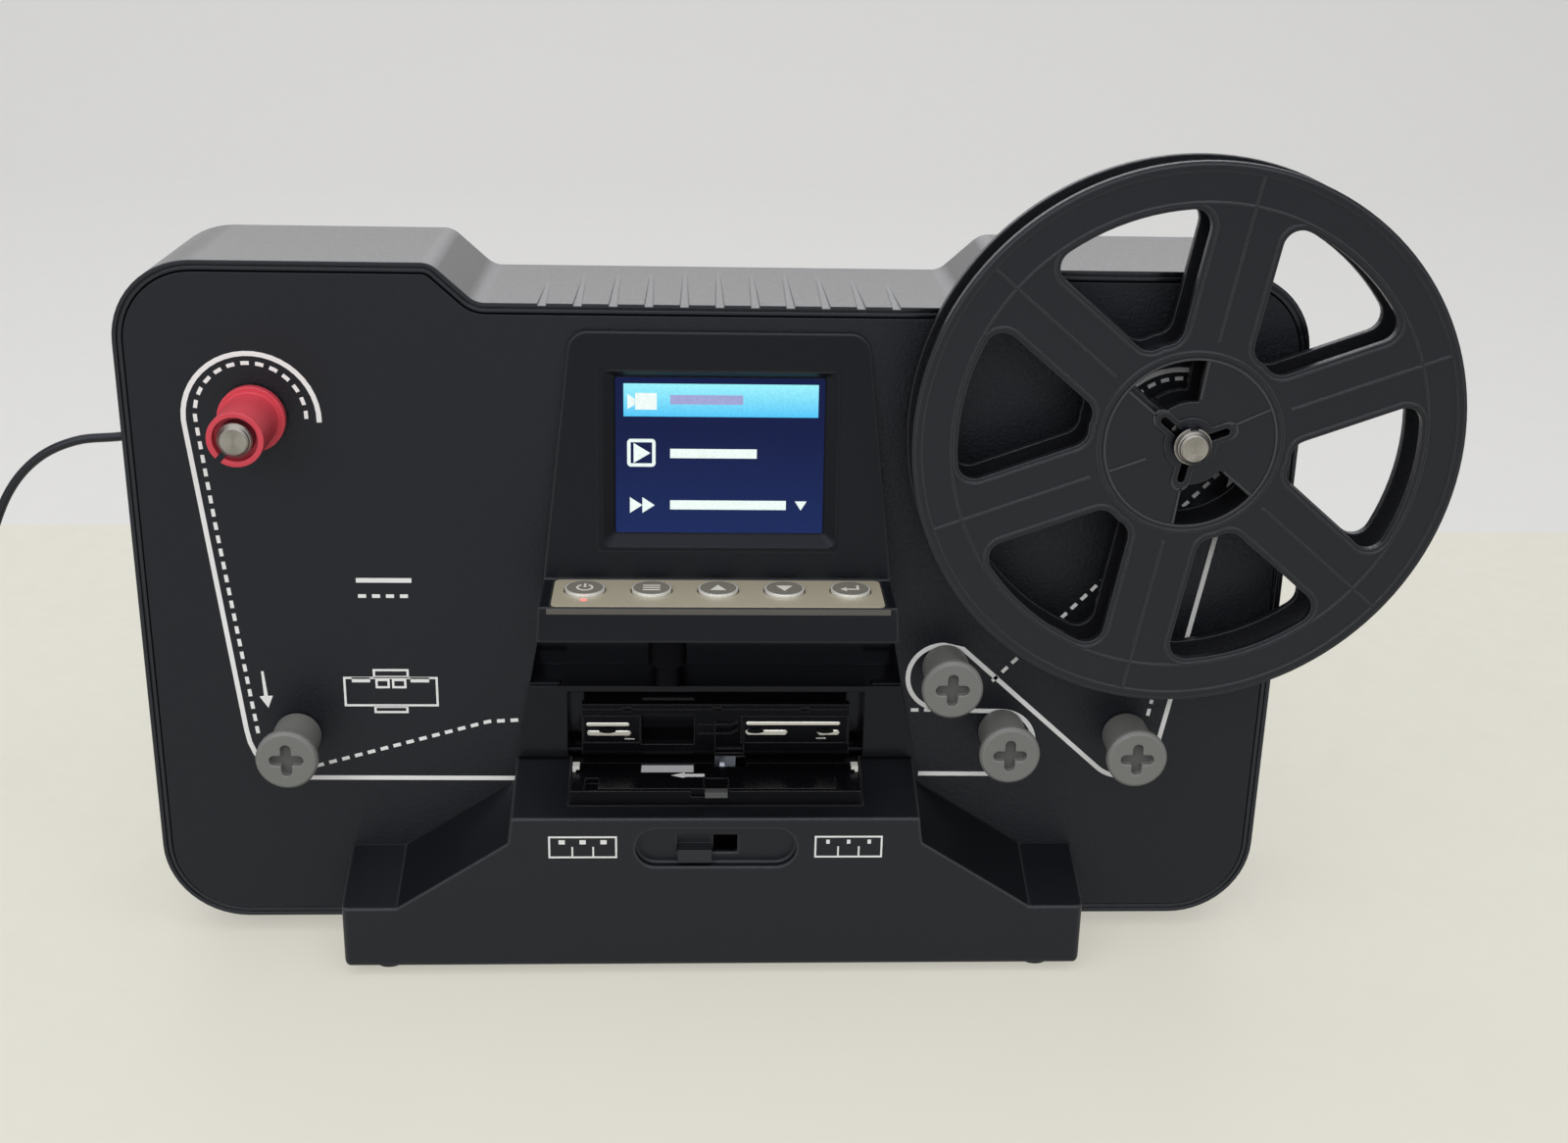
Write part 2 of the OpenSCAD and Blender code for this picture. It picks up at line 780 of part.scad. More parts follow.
module rubber_feet() {
  color("#0c0c0c") for (p = feet_at()) translate([p.x, p.y, -foot_h]) {
    cylinder(r1 = foot_r - 0.8, r2 = foot_r, h = 1);
    translate([0, 0, 1 - eps]) cylinder(r = foot_r, h = foot_h - 1 + foot_sink + eps);
  }
}

// Sliding knob: a finger lip below the slot, a tongue through the slot and a keeper behind it
module selector_knob() {
  back = recess_depth - base_reach;
  foot = recess_z - knob_h / 2;
  color("#3a3a3c") {
    block(knob_x - knob_w / 2, knob_x + knob_w / 2, back - knob_out, back - fit,
      recess_z - knob_drop, foot + neck_t);
    block(knob_x - neck_w / 2, knob_x + neck_w / 2, back - fit - eps, back + keeper_y + fit,
      foot, foot + neck_t);
    block(knob_x - keeper_w / 2, knob_x + keeper_w / 2, back + keeper_y + fit - eps, back + 3,
      foot - 1.2, pocket_z - base_wall - fit);
  }
}

// Film gate

// Surround of the gate on the panel, with the box behind it that takes the open door
// Outline of the gate's front between two heights: it narrows towards the console
module gate_front(z0, z1, grow) {
  spread = (block_x - console_hw_foot) / (console_low - frame_low);
  low = block_x - spread * (z0 - frame_low) + grow;
  high = block_x - spread * (z1 - frame_low) + grow;
  polygon([[-low, z0], [-high, z1], [high, z1], [low, z0]]);
}

module gate_frame() {
  top = console_low - fit;
  inside = panel_t + fit;
  color(panel_black) difference() {
    union() {
      along_y(-frame_t, 0) gate_front(frame_low, frame_step, 0);
      block(-frame_x - frame_wall, frame_x + frame_wall, 0, frame_depth, bed_z - frame_wall, frame_step);
      // deep recess that the lens hangs in
      difference() {
        along_y(inside, hood_back) gate_front(frame_top, top, frame_wall);
        along_y(inside - 1, hood_back - frame_wall) gate_front(frame_step, top - frame_wall, 0.1);
      }
      for (x = [-13, 19]) block(x - 1.2, x + 1.2, 0.2, rail_y + 2.4, rail_z - 2.4, bed_z - frame_wall + eps);
    }
    block(-frame_x, frame_x, -frame_t - 1, frame_depth - frame_wall, bed_z, frame_top);
    block(claw_x - 1.2, claw_x + claw_travel + claw_w + 1.2, -1, rail_y + 5,
      bed_z - frame_wall - 1, bed_z + 1);
    rod_x(hinge_y, hinge_z, -frame_x - frame_wall - 1, frame_x + frame_wall + 1, hinge_r + running);
    rod_x(rail_y, rail_z, -20, 26, rail_r + running);
  }
}

module hinge_pin() {
  color(steel) rod_x(hinge_y, hinge_z, -frame_x - frame_wall, frame_x + frame_wall, hinge_r);
}

// Door, standing open: its inner face looks to the front and shows the film aperture
module gate_door() {
  face = hinge_y - door_in;
  color(deep_black) difference() {
    union() {
      block(-door_x, door_x, face, face + door_t, hinge_z, hinge_z + door_len);
      rod_x(hinge_y, hinge_z, -door_x, door_x, knuckle_r);
    }
    rod_x(hinge_y, hinge_z, -door_x - 1, door_x + 1, hinge_r + running);
    block(lens_x - light_w / 2, lens_x + light_w / 2, face - 1, face + door_t + 1,
      hinge_z + knuckle_r + 0.3, hinge_z + 10.2);
    for (x = claw_grooves()) block(x - 0.7, x + 0.7, face - 1, face + 1.2, hinge_z - 3, hinge_z + 8.5);
  }
}

// Grooves that clear the claw on its way across the door
function claw_grooves() = [for (i = [0:4]) claw_x + claw_w / 2 - 1.05 + i * 1.4];

// Two steel leaves on each side of the aperture that hold the film flat
module pressure_strips() {
  face = hinge_y - door_in;
  low = [hinge_z + 4.9, hinge_z + 6.6];
  high = [hinge_z + 7.5, hinge_z + 8.7];
  color(steel) for (s = [[-30.5, -20, low], [-31, -20.6, high], [8.2, 18.5, low], [25.2, 30.4, low],
      [8.2, 30.4, high]]) {
    block(s[0], s[1], face - 0.4, face, s[2][0], s[2][1]);
  }
}

module film_bed() {
  rear = -fit / 2;
  color(deep_black) difference() {
    block(-bed_x, bed_x, -bed_reach, rear, pocket_z, bed_z);
    // channel for the latch and the notch for its tab
    block(latch_x0 - latch_travel - fit, latch_x1 + fit, latch_y0 - fit, latch_y1 + fit,
      latch_z - 0.1, bed_z + 1);
    block(-tab_w / 2 - latch_travel - fit, tab_w / 2 + fit, -bed_reach - 1, latch_y0,
      latch_z - 0.1, bed_z + 1);
    // light shaft, widened below for the lamp board
    block(lens_x - light_w / 2, lens_x + light_w / 2, light_y0, light_y1, pocket_z - 1, bed_z + 1);
    block(lens_x - 10.5, lens_x + 10.5, light_y0 - 2, light_y1 + 1, pocket_z - 1, pocket_z + 4);
    // slot for the claw
    block(claw_x - 1.2, claw_x + claw_travel + claw_w + 1.2, -2, 1, pocket_z + 3, bed_z + 1);
  }
}

module film_tabs() {
  color(white) for (s = [-1, 1]) {
    mirror([s > 0 ? 0 : 1, 0, 0]) {
      block(bed_x - tab_reach, bed_x, tab_y0, tab_y1, bed_z + tab_lift, bed_z + tab_lift + tab_t);
      block(bed_x - 0.8, bed_x, tab_y0, tab_y1, bed_z, bed_z + tab_lift + eps);
    }
  }
}

// Latch: a flat slide with two finger bars and a tab in front
module gate_latch() {
  color("#2a2a2c") {
    block(latch_x0, latch_x1, latch_y0, latch_y1, latch_z, latch_z + latch_t);
    for (s = [[latch_x0, -tab_w / 2 - 0.2], [tab_w / 2 + 0.2, latch_x1]]) {
      block(s[0], s[1], latch_y0, latch_y1, latch_z + latch_t - eps, latch_z + latch_t + bar_h);
    }
    block(-tab_w / 2, tab_w / 2, -bed_reach - 1.4, latch_y0 + 2, latch_z + 0.2, latch_z + latch_t + 0.5);
  }
}

module light_diffuser() {
  half = light_w / 2 - 0.1;
  color("#f4f6f8") block(lens_x - half, lens_x + half, light_y0 + 0.1, light_y1 - 0.1,
    pocket_z + 6, bed_z - 0.3);
}

module light_board() {
  top = pocket_z + 1.4;
  color(board_green) block(lens_x - 10, lens_x + 10, light_y0 - 1.5, light_y1 + 0.5, pocket_z, top);
  color(white) block(lens_x - 2.5, lens_x + 2.5, light_y0 + 0.6, light_y1 - 0.6, top - eps, pocket_z + 6);
}

// Claw that steps the film on: a tooth that reaches through the bed and a carriage on its rail
module film_claw() {
  color(white) difference() {
    union() {
      block(claw_x, claw_x + claw_w, -1.4, -0.6, bed_z - 3, bed_z + 0.5);
      block(claw_x, claw_x + claw_w, -1.4, rail_y - 1.8, rail_z - 0.8, rail_z + 1.2);
      block(claw_x - 3, claw_x + claw_w + 3, rail_y - 2.4, rail_y + 2.4, rail_z - 2.2, rail_z + 2.2);
    }
    rod_x(rail_y, rail_z, claw_x - 5, claw_x + claw_w + 5, rail_r + running);
  }
}

module claw_rail() {
  color(steel) rod_x(rail_y, rail_z, -14.2, 20.2, rail_r);
}

module advance_motor() {
  at = [claw_x + claw_w / 2 + claw_travel / 2, rail_z];
  back = body_d - wall;
  color("#8d9094") {
    rod_y(at, back - step_motor_len, back, step_motor_r);
    rod_y(at, rail_y + 3.6, back - step_motor_len + eps, 3);
  }
}

// Rollers

module roller_pins() {
  color(steel) for (p = roller_at) rod_y(p, cap_t + 0.6 - roller_reach, panel_t, pin_r);
}

module roller(at) {
  color(grey) difference() {
    union() {
      rod_y(at, cap_t - roller_reach - eps, -roller_back, barrel_r);
      rod_y(at, cap_edge - roller_reach, cap_t - roller_reach, cap_r);
      translate([at.x, cap_edge - roller_reach + eps, at.y]) rotate([90, 0, 0]) {
        cylinder(r1 = cap_r, r2 = cap_r - cap_edge, h = cap_edge + eps);
      }
    }
    rod_y(at, cap_t + 0.3 - roller_reach, 0, pin_r + running);
    along_y(-roller_reach - 1, cross_depth - roller_reach) translate(at) {
      for (a = [0, 90]) rotate(a) stadium(cross_len, cross_w, 0);
    }
  }
}

module roller_left() { roller(roller_at[0]); }
module roller_upper() { roller(roller_at[1]); }
module roller_lower() { roller(roller_at[2]); }
module roller_right() { roller(roller_at[3]); }

// Spindle drive

module spindle_bearings() {
  color("#a8783c") for (s = [-1, 1]) difference() {
    union() {
      rod_y([s * spindle_x, spindle_z], 0, panel_t + bush_flange_t, bush_r);
      rod_y([s * spindle_x, spindle_z], panel_t, panel_t + bush_flange_t, bush_r + 1.5);
    }
    rod_y([s * spindle_x, spindle_z], -1, panel_t + 2, shaft_r + running);
  }
}

module motor_brackets() {
  color(steel) for (s = [-1, 1]) translate([s * spindle_x, 0, spindle_z]) difference() {
    block(-bracket_w / 2, bracket_w / 2, bracket_y, bracket_y + bracket_t, -bracket_low, bracket_up);
    rod_y([0, 0], bracket_y - 1, bracket_y + 2, shaft_r + running);
    rod_y([0, -drive_step], bracket_y - 1, bracket_y + 2, 3);
  }
}

module spindle(s) {
  at = [s * spindle_x, spindle_z];
  rod_y(at, 1.2 - spindle_reach, -0.4, spindle_r);
  translate([at.x, 1.2 - spindle_reach + eps, at.y]) rotate([90, 0, 0]) {
    cylinder(r1 = spindle_r, r2 = spindle_r - 1, h = 1.2 + eps);
  }
  rod_y(at, -0.4 - eps, motor_y + 1, shaft_r);
}

module left_spindle() { color(steel) spindle(-1); }

module right_spindle() {
  at = [spindle_x, spindle_z];
  color(steel) {
    spindle(1);
    difference() {
      rod_y(at, reel_y0 - 2.4, reel_y0 - 0.6, spindle_r + 0.35);
      block(at.x - 1, at.x + 1, reel_y0 - 3, reel_y0, at.y + spindle_r - 0.4, at.y + spindle_r + 2);
    }
    for (a = boss_angles()) translate([at.x, 0, at.y]) rotate([0, -a, 0]) {
      block(0, arm_r - 0.6, reel_y0 + 4, reel_y1 - 0.6, -fin_w / 2, fin_w / 2);
    }
  }
}

// Red sleeve that takes a reel with the larger hole: flange, split barrel
module reel_adapter() {
  at = [-spindle_x, spindle_z];
  color(red) difference() {
    union() {
      rod_y(at, 1.6 - spindle_reach, -1.2, adapter_r);
      rod_y(at, -2.8, -0.8, adapter_r + 1.4);
    }
    rod_y(at, -spindle_reach, 1, spindle_r + running);
    rod_y(at, -spindle_reach, adapter_cup - spindle_reach, adapter_cup_r);
    translate([at.x, 0, at.y]) rotate([0, -230, 0]) block(0, 12, -spindle_reach, -4.5, -0.7, 0.7);
    block(at.x - adapter_r - 2, at.x - adapter_r - 0.6, -4, 0, at.y - 0.8, at.y + 0.8);
  }
}

// Involute tooth form: half the angle that a tooth takes up at radius r
function tooth_turn(a) = tan(a) * 180 / PI - a;
function tooth_half(n, r, play) = let (pitch = gear_m * n / 2, base = pitch * cos(20))
  90 / n - play / pitch * 90 / PI + tooth_turn(20) - tooth_turn(r > base ? acos(base / r) : 0);

module gear_shape(n, turn) {
  pitch = gear_m * n / 2;
  radii = [pitch - gear_m * 1.2, pitch - gear_m * 0.3, pitch + gear_m * 0.3, pitch + gear_m * 0.9];
  rotate(turn) polygon([
    for (i = [0:n - 1]) each concat(
      [for (r = radii) let (a = i * 360 / n - tooth_half(n, r, 0.25)) r * [cos(a), sin(a)]],
      [for (k = [3:-1:0]) let (r = radii[k], a = i * 360 / n + tooth_half(n, r, 0.25)) r * [cos(a), sin(a)]]
    )
  ]);
}

module drive_gear(s) {
  color(white) difference() {
    along_y(gear_y, gear_y + gear_t) translate([s * spindle_x, spindle_z]) gear_shape(gear_n, 0);
    rod_y([s * spindle_x, spindle_z], 0, 20, shaft_r);
  }
}

module left_gear() { drive_gear(-1); }
module right_gear() { drive_gear(1); }

module drive_pinion(s) {
  at = [s * spindle_x, spindle_z - drive_step];
  color("#c9a64a") {
    along_y(gear_y, gear_y + gear_t) translate(at) gear_shape(pinion_n, 180 / pinion_n);
    rod_y(at, gear_y + gear_t - eps, motor_y + 6, motor_shaft_r);
  }
}

module left_pinion() { drive_pinion(-1); }
module right_pinion() { drive_pinion(1); }

module drive_motor(s) {
  at = [s * spindle_x, spindle_z - drive_step];
  color("#8d9094") difference() {
    union() {
      rod_y(at, motor_y, motor_y + motor_len, motor_r);
      rod_y(at, motor_y + motor_len - eps, motor_y + motor_len + motor_cap_t, 4);
    }
    rod_y(at, motor_y - 1, motor_y + 7, motor_shaft_r + running);
  }
}

module left_motor() { drive_motor(-1); }
module right_motor() { drive_motor(1); }

// Reel

function boss_angles() = [for (i = [0:2]) spoke_turn + 120 * i];
function spoke_angles() = [for (i = [0:5]) spoke_turn + 60 * i];

// One rounded window between two spokes, centred on the X axis
module reel_window() {
  apex = spoke_w / 2 / sin(30);
  offset(r = window_round, $fn = 24) offset(delta = -window_round) difference() {
    intersection() {
      circle(window_out, $fn = 120);
      polygon([[apex, 0], [apex + reel_r * cos(30), reel_r / 2], [apex + reel_r * cos(30), -reel_r / 2]]);
    }
    circle(window_in);
  }
}

module reel_windows() {
  for (a = spoke_angles()) rotate(a + 30) reel_window();
}

// Two opposite sectors of the core are open
module open_sectors() {
  far = 2 * core_r;
  for (s = [0, 180]) rotate(spoke_turn + sector_low + s) intersection() {
    difference() {
      circle(core_r - 2);
      circle(arm_r + 1.4);
    }
    polygon([[0, 0], [far, 0], far * [cos(sector_turn), sin(sector_turn)]]);
  }
}

// Outline of the keyed boss at the reel's centre
module boss_shape(grow) {
  circle(boss_r + grow);
  for (a = boss_angles()) rotate(a) {
    translate([0, -arm_w / 2 - grow]) square([arm_r, arm_w + 2 * grow]);
    translate([arm_r, 0]) circle(arm_w / 2 + grow);
  }
}

module flange_shape() {
  difference() {
    circle(reel_r);
    reel_windows();
    open_sectors();
    boss_shape(running);
  }
}

module at_reel(y0, y1) {
  along_y(y0, y1) translate([spindle_x, spindle_z]) children();
}

module reel_front_flange() {
  color("#2b2c2f") {
    at_reel(reel_y0, front_y) flange_shape();
    at_reel(reel_y0 - bead_h, reel_y0 + eps) {
      difference() {
        circle(reel_r - 0.6);
        circle(reel_r - rim_w);
      }
      for (a = spoke_angles()) rotate(a + 30) difference() {
        offset(r = bead_w, $fn = 24) reel_window();
        offset(r = bead_w - bead_line, $fn = 24) reel_window();
      }
      difference() {
        circle(window_out + bead_w + bead_line / 2);
        circle(window_out + bead_w - bead_line / 2);
      }
      for (a = spoke_angles()) rotate(a) translate([window_in, -bead_line / 2]) {
        square([reel_r - rim_w - window_in, bead_line]);
      }
      difference() {
        circle(core_r);
        circle(core_r - 0.8);
      }
    }
  }
}

module reel_rear_flange() {
  color("#2b2c2f") at_reel(rear_y, reel_y1) flange_shape();
}

module reel_core() {
  color("#26272a") {
    at_reel(reel_y0 - 0.4, reel_y1) difference() {
      boss_shape(0);
      circle(spindle_r + running);
      for (a = boss_angles()) rotate(a) {
        translate([0, -slot_w / 2]) square([arm_r, slot_w]);
        translate([arm_r, 0]) circle(slot_w / 2);
      }
    }
    at_reel(front_y, rear_y) difference() {
      union() {
        difference() {
          circle(core_r);
          circle(core_r - 1.8);
        }
        for (a = boss_angles()) rotate(a) translate([arm_r + 1, -1]) square([core_r - arm_r - 2, 2]);
      }
      rotate(spoke_turn + 60) translate([core_r - 4, -0.9]) square([8, 1.8]);
    }
  }
}

// Electronics

module main_board() {
  color(board_green) difference() {
    block(board_x0, board_x1, board_y, board_y + board_t, board_z0, board_z1);
    for (p = screw_at) rod_y(p, board_y - 1, board_y + board_t + 1, pad_r + 0.6);
  }
}

module power_jack() {
  b = socket_boxes()[0];
  color(deep_black) {
    difference() {
      block(b[0], b[1], board_y + board_t, body_d, b[2], b[3]);
      rod_y(jack_at, board_y + board_t + 1.2, body_d + 1, 3.2);
    }
    rod_y(jack_at, board_y + board_t + 1, body_d - 1, 1);
  }
}

module usb_socket() {
  b = socket_boxes()[1];
  color(steel) difference() {
    block(b[0], b[1], board_y + board_t, body_d, b[2], b[3]);
    block(b[0] + 0.8, b[1] - 0.8, board_y + board_t + 1, body_d + 1, b[2] + 0.8, b[3] - 0.8);
  }
}

module av_socket() {
  b = socket_boxes()[2];
  color(deep_black) difference() {
    block(b[0], b[1], board_y + board_t, body_d, b[2], b[3]);
    rod_y([av_x, socket_z], board_y + board_t + 1, body_d + 1, 1.8);
  }
}

module card_slot() {
  b = socket_boxes()[3];
  color(steel) difference() {
    block(b[0], b[1], board_y + board_t, body_d, b[2], b[3]);
    block(b[0] + 1.8, b[1] - 1.8, board_y + board_t + 1, body_d + 1, socket_z - 1.2, socket_z + 1.2);
  }
}

// Power lead

// A smooth curve through hand-chosen places: each stretch is cut into steps
function curve_at(a, b, c, d, t) = 0.5 * (2 * b + (c - a) * t + (2 * a - 5 * b + 4 * c - d) * t * t
  + (3 * b - a - 3 * c + d) * t * t * t);
function smooth(route, steps) = let (last = len(route) - 1) concat(
  [for (i = [0:last - 1], k = [0:steps - 1])
    curve_at(route[max(i - 1, 0)], route[i], route[i + 1], route[min(i + 2, last)], k / steps)],
  [route[last]]
);

function unit(v) = v / norm(v);

// A tube of given sides along points, its rings square to the path
module tube(path, r, sides, upright) {
  last = len(path) - 1;
  ways = [for (i = [0:last]) unit(path[min(i + 1, last)] - path[max(i - 1, 0)])];
  across = [for (w = ways) unit(cross(w, upright))];
  rings = [for (i = [0:last], k = [0:sides - 1]) let (a = 360 * (k + 0.5) / sides)
    path[i] + r * (cos(a) * across[i] + sin(a) * cross(across[i], ways[i]))];
  walls = [for (i = [0:last - 1], k = [0:sides - 1]) let (a = i * sides + k, b = i * sides + (k + 1) % sides)
    each [[a, b, a + sides], [b, b + sides, a + sides]]];
  first = [for (k = [sides - 1:-1:0]) k];
  final = [for (k = [0:sides - 1]) last * sides + k];
  polyhedron(rings, concat(walls, [first, final]), convexity = 10);
}

// The coil: layers that wind in and out in turn, climbing in the half turn where they turn back
function coil_climb(t) = [for (k = 1, c = 0; k < coil_layers;
    c = c + min(max((t - k * layer_turns + 0.25) / 0.5, 0), 1), k = k + 1)
  c + min(max((t - k * layer_turns + 0.25) / 0.5, 0), 1)][coil_layers - 2];
function coil_point(t) = let (
    depth = layer_turns - abs(layer_turns - t % (2 * layer_turns)),
    r = coil_r - coil_pitch * depth,
    a = -90 - 360 * t
  ) [coil_at.x + r * cos(a), coil_at.y + r * sin(a), lie_z + coil_layer * coil_climb(t)];
coil_steps = 24 * layer_turns * coil_layers;
coil_path = [for (i = [0:coil_steps]) coil_point(i / 24)];
coil_gap = min([
  for (i = [0:coil_steps - 13], j = [i + 12:coil_steps]) norm(coil_path[i] - coil_path[j])
]) - 2 * cord_r;
function path_length(p) = [for (i = 1, s = 0; i < len(p); s = s + norm(p[i] - p[i - 1]), i = i + 1)
  s + norm(p[i] - p[i - 1])][len(p) - 2];

module power_lead() {
  color("#141414") {
    tube(smooth(lead_route, 3), cord_r, 8, [0.5, 0.5, 0.7]);
    tube(smooth(tail_route, 2), cord_r, 8, [0, 0, 1]);
  }
}

module power_coil() {
  start = coil_path[0];
  end = coil_path[coil_steps];
  echo(coil_gap = coil_gap, coil_mm = path_length(coil_path), lead_mm = path_length(smooth(lead_route, 3)),
    tail_mm = path_length(smooth(tail_route, 2)));
  stub = [2 * cord_r, 0, 0];
  color("#141414") tube(concat([start + stub], coil_path, [end - stub]), cord_r, 6, [0, 0, 1]);
}

module power_plug() {
  color("#141414") {
    difference() {
      rod_y(jack_at, body_d - 4.6, plug_y + eps, 2.75);
      rod_y(jack_at, body_d - 6, plug_y - 0.5, 1.3);
    }
    rod_y(jack_at, plug_y, plug_y + plug_len, plug_r);
    translate([jack_at.x, plug_y + plug_len - eps, jack_at.y]) rotate([-90, 0, 0]) {
      cylinder(r1 = 3.4, r2 = cord_r + 0.7, h = relief_len + eps);
    }
  }
}

module wall_adapter() {
  end = tail_route[len(tail_route) - 1];
  head = end.y - sleeve_len;
  half = [adapter_w, adapter_d] / 2 - adapter_round * [1, 1];
  color("#141414") {
    translate([end.x, head - adapter_d / 2, floor_level]) linear_extrude(adapter_h) {
      square([2 * half.x, adapter_d], center = true);
      square([adapter_w, 2 * half.y], center = true);
      for (x = [-1, 1], y = [-1, 1]) translate([x * half.x, y * half.y]) circle(adapter_round);
    }
    translate([end.x, head - eps, end.z]) rotate([-90, 0, 0]) {
      cylinder(r1 = 3.4, r2 = cord_r + 0.7, h = sleeve_len + eps);
    }
  }
  color(steel) for (x = [end.x - prong_x, end.x + prong_x]) {
    block(x - prong_t / 2, x + prong_t / 2, head - adapter_d - prong_len, head - adapter_d + eps,
      prong_z[0], prong_z[1]);
  }
}

rear_housing();
front_panel();
housing_screws();
console_cover();
screen_window();
screen_module();
key_plate();
key_board();
indicator_light();
key_power();
key_menu();
key_up();
key_down();
key_enter();
camera_board();
lens_barrel();
base_stand();
base_plate();
rubber_feet();
selector_knob();
gate_frame();
hinge_pin();
gate_door();
pressure_strips();
film_bed();
film_tabs();
gate_latch();
light_diffuser();
light_board();
film_claw();
claw_rail();
advance_motor();
roller_pins();
roller_left();
roller_upper();
roller_lower();
roller_right();
spindle_bearings();
motor_brackets();
left_spindle();
reel_adapter();
left_gear();
left_pinion();
left_motor();
right_spindle();
reel_front_flange();
reel_rear_flange();
reel_core();
right_gear();
right_pinion();
right_motor();
main_board();
power_jack();
usb_socket();
av_socket();
card_slot();
power_plug();
power_lead();
power_coil();
wall_adapter();
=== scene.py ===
import math

import bmesh
import bpy
from mathutils import Matrix, Vector


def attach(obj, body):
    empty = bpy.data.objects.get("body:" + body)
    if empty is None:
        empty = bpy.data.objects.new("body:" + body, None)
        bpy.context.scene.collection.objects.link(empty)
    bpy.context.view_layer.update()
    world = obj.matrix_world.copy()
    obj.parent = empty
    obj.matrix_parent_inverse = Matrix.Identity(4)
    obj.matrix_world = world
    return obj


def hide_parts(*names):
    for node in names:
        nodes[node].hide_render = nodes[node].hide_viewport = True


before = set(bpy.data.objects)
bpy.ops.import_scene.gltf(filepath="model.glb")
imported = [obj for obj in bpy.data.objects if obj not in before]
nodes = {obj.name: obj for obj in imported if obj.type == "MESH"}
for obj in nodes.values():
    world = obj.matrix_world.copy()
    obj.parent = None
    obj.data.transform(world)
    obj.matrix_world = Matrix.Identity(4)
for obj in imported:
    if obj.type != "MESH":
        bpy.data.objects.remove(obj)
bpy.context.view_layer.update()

# Camera
# The photograph's viewpoint, found by fitting the housing, the reel, the screen and the rollers.
# It looks down a little, slightly to the right and with a small roll; the frame is 1600 by 1166.
viewpoint = (-0.00641, -0.42965, 0.25416)
pitch, yaw, roll = (math.radians(a) for a in (20.23, 2.98, 1.29))
ahead = Vector((math.sin(yaw) * math.cos(pitch), math.cos(yaw) * math.cos(pitch), -math.sin(pitch)))
level = Vector((math.cos(yaw), -math.sin(yaw), 0))
above = level.cross(ahead)
across = level * math.cos(roll) + above * math.sin(roll)
upward = above * math.cos(roll) - level * math.sin(roll)
camera_data = bpy.data.cameras.new("photo_camera")
camera_data.sensor_fit = "HORIZONTAL"
camera_data.sensor_width = 36
camera_data.lens = 43.89
camera = bpy.data.objects.new("photo_camera", camera_data)
camera.matrix_world = Matrix.Translation(viewpoint) @ Matrix((across, upward, -ahead)).transposed().to_4x4()
bpy.context.scene.collection.objects.link(camera)
bpy.context.scene.camera = camera


# Power lead
# A thin round two-core lead in black PVC: out of the barrel plug at the back, down to the table in
# a loose curve, then wound into a small tied coil beside the housing, ending in its wall adapter.
MM = 0.001


def link(node_tree, a, b):
    node_tree.links.new(a, b)


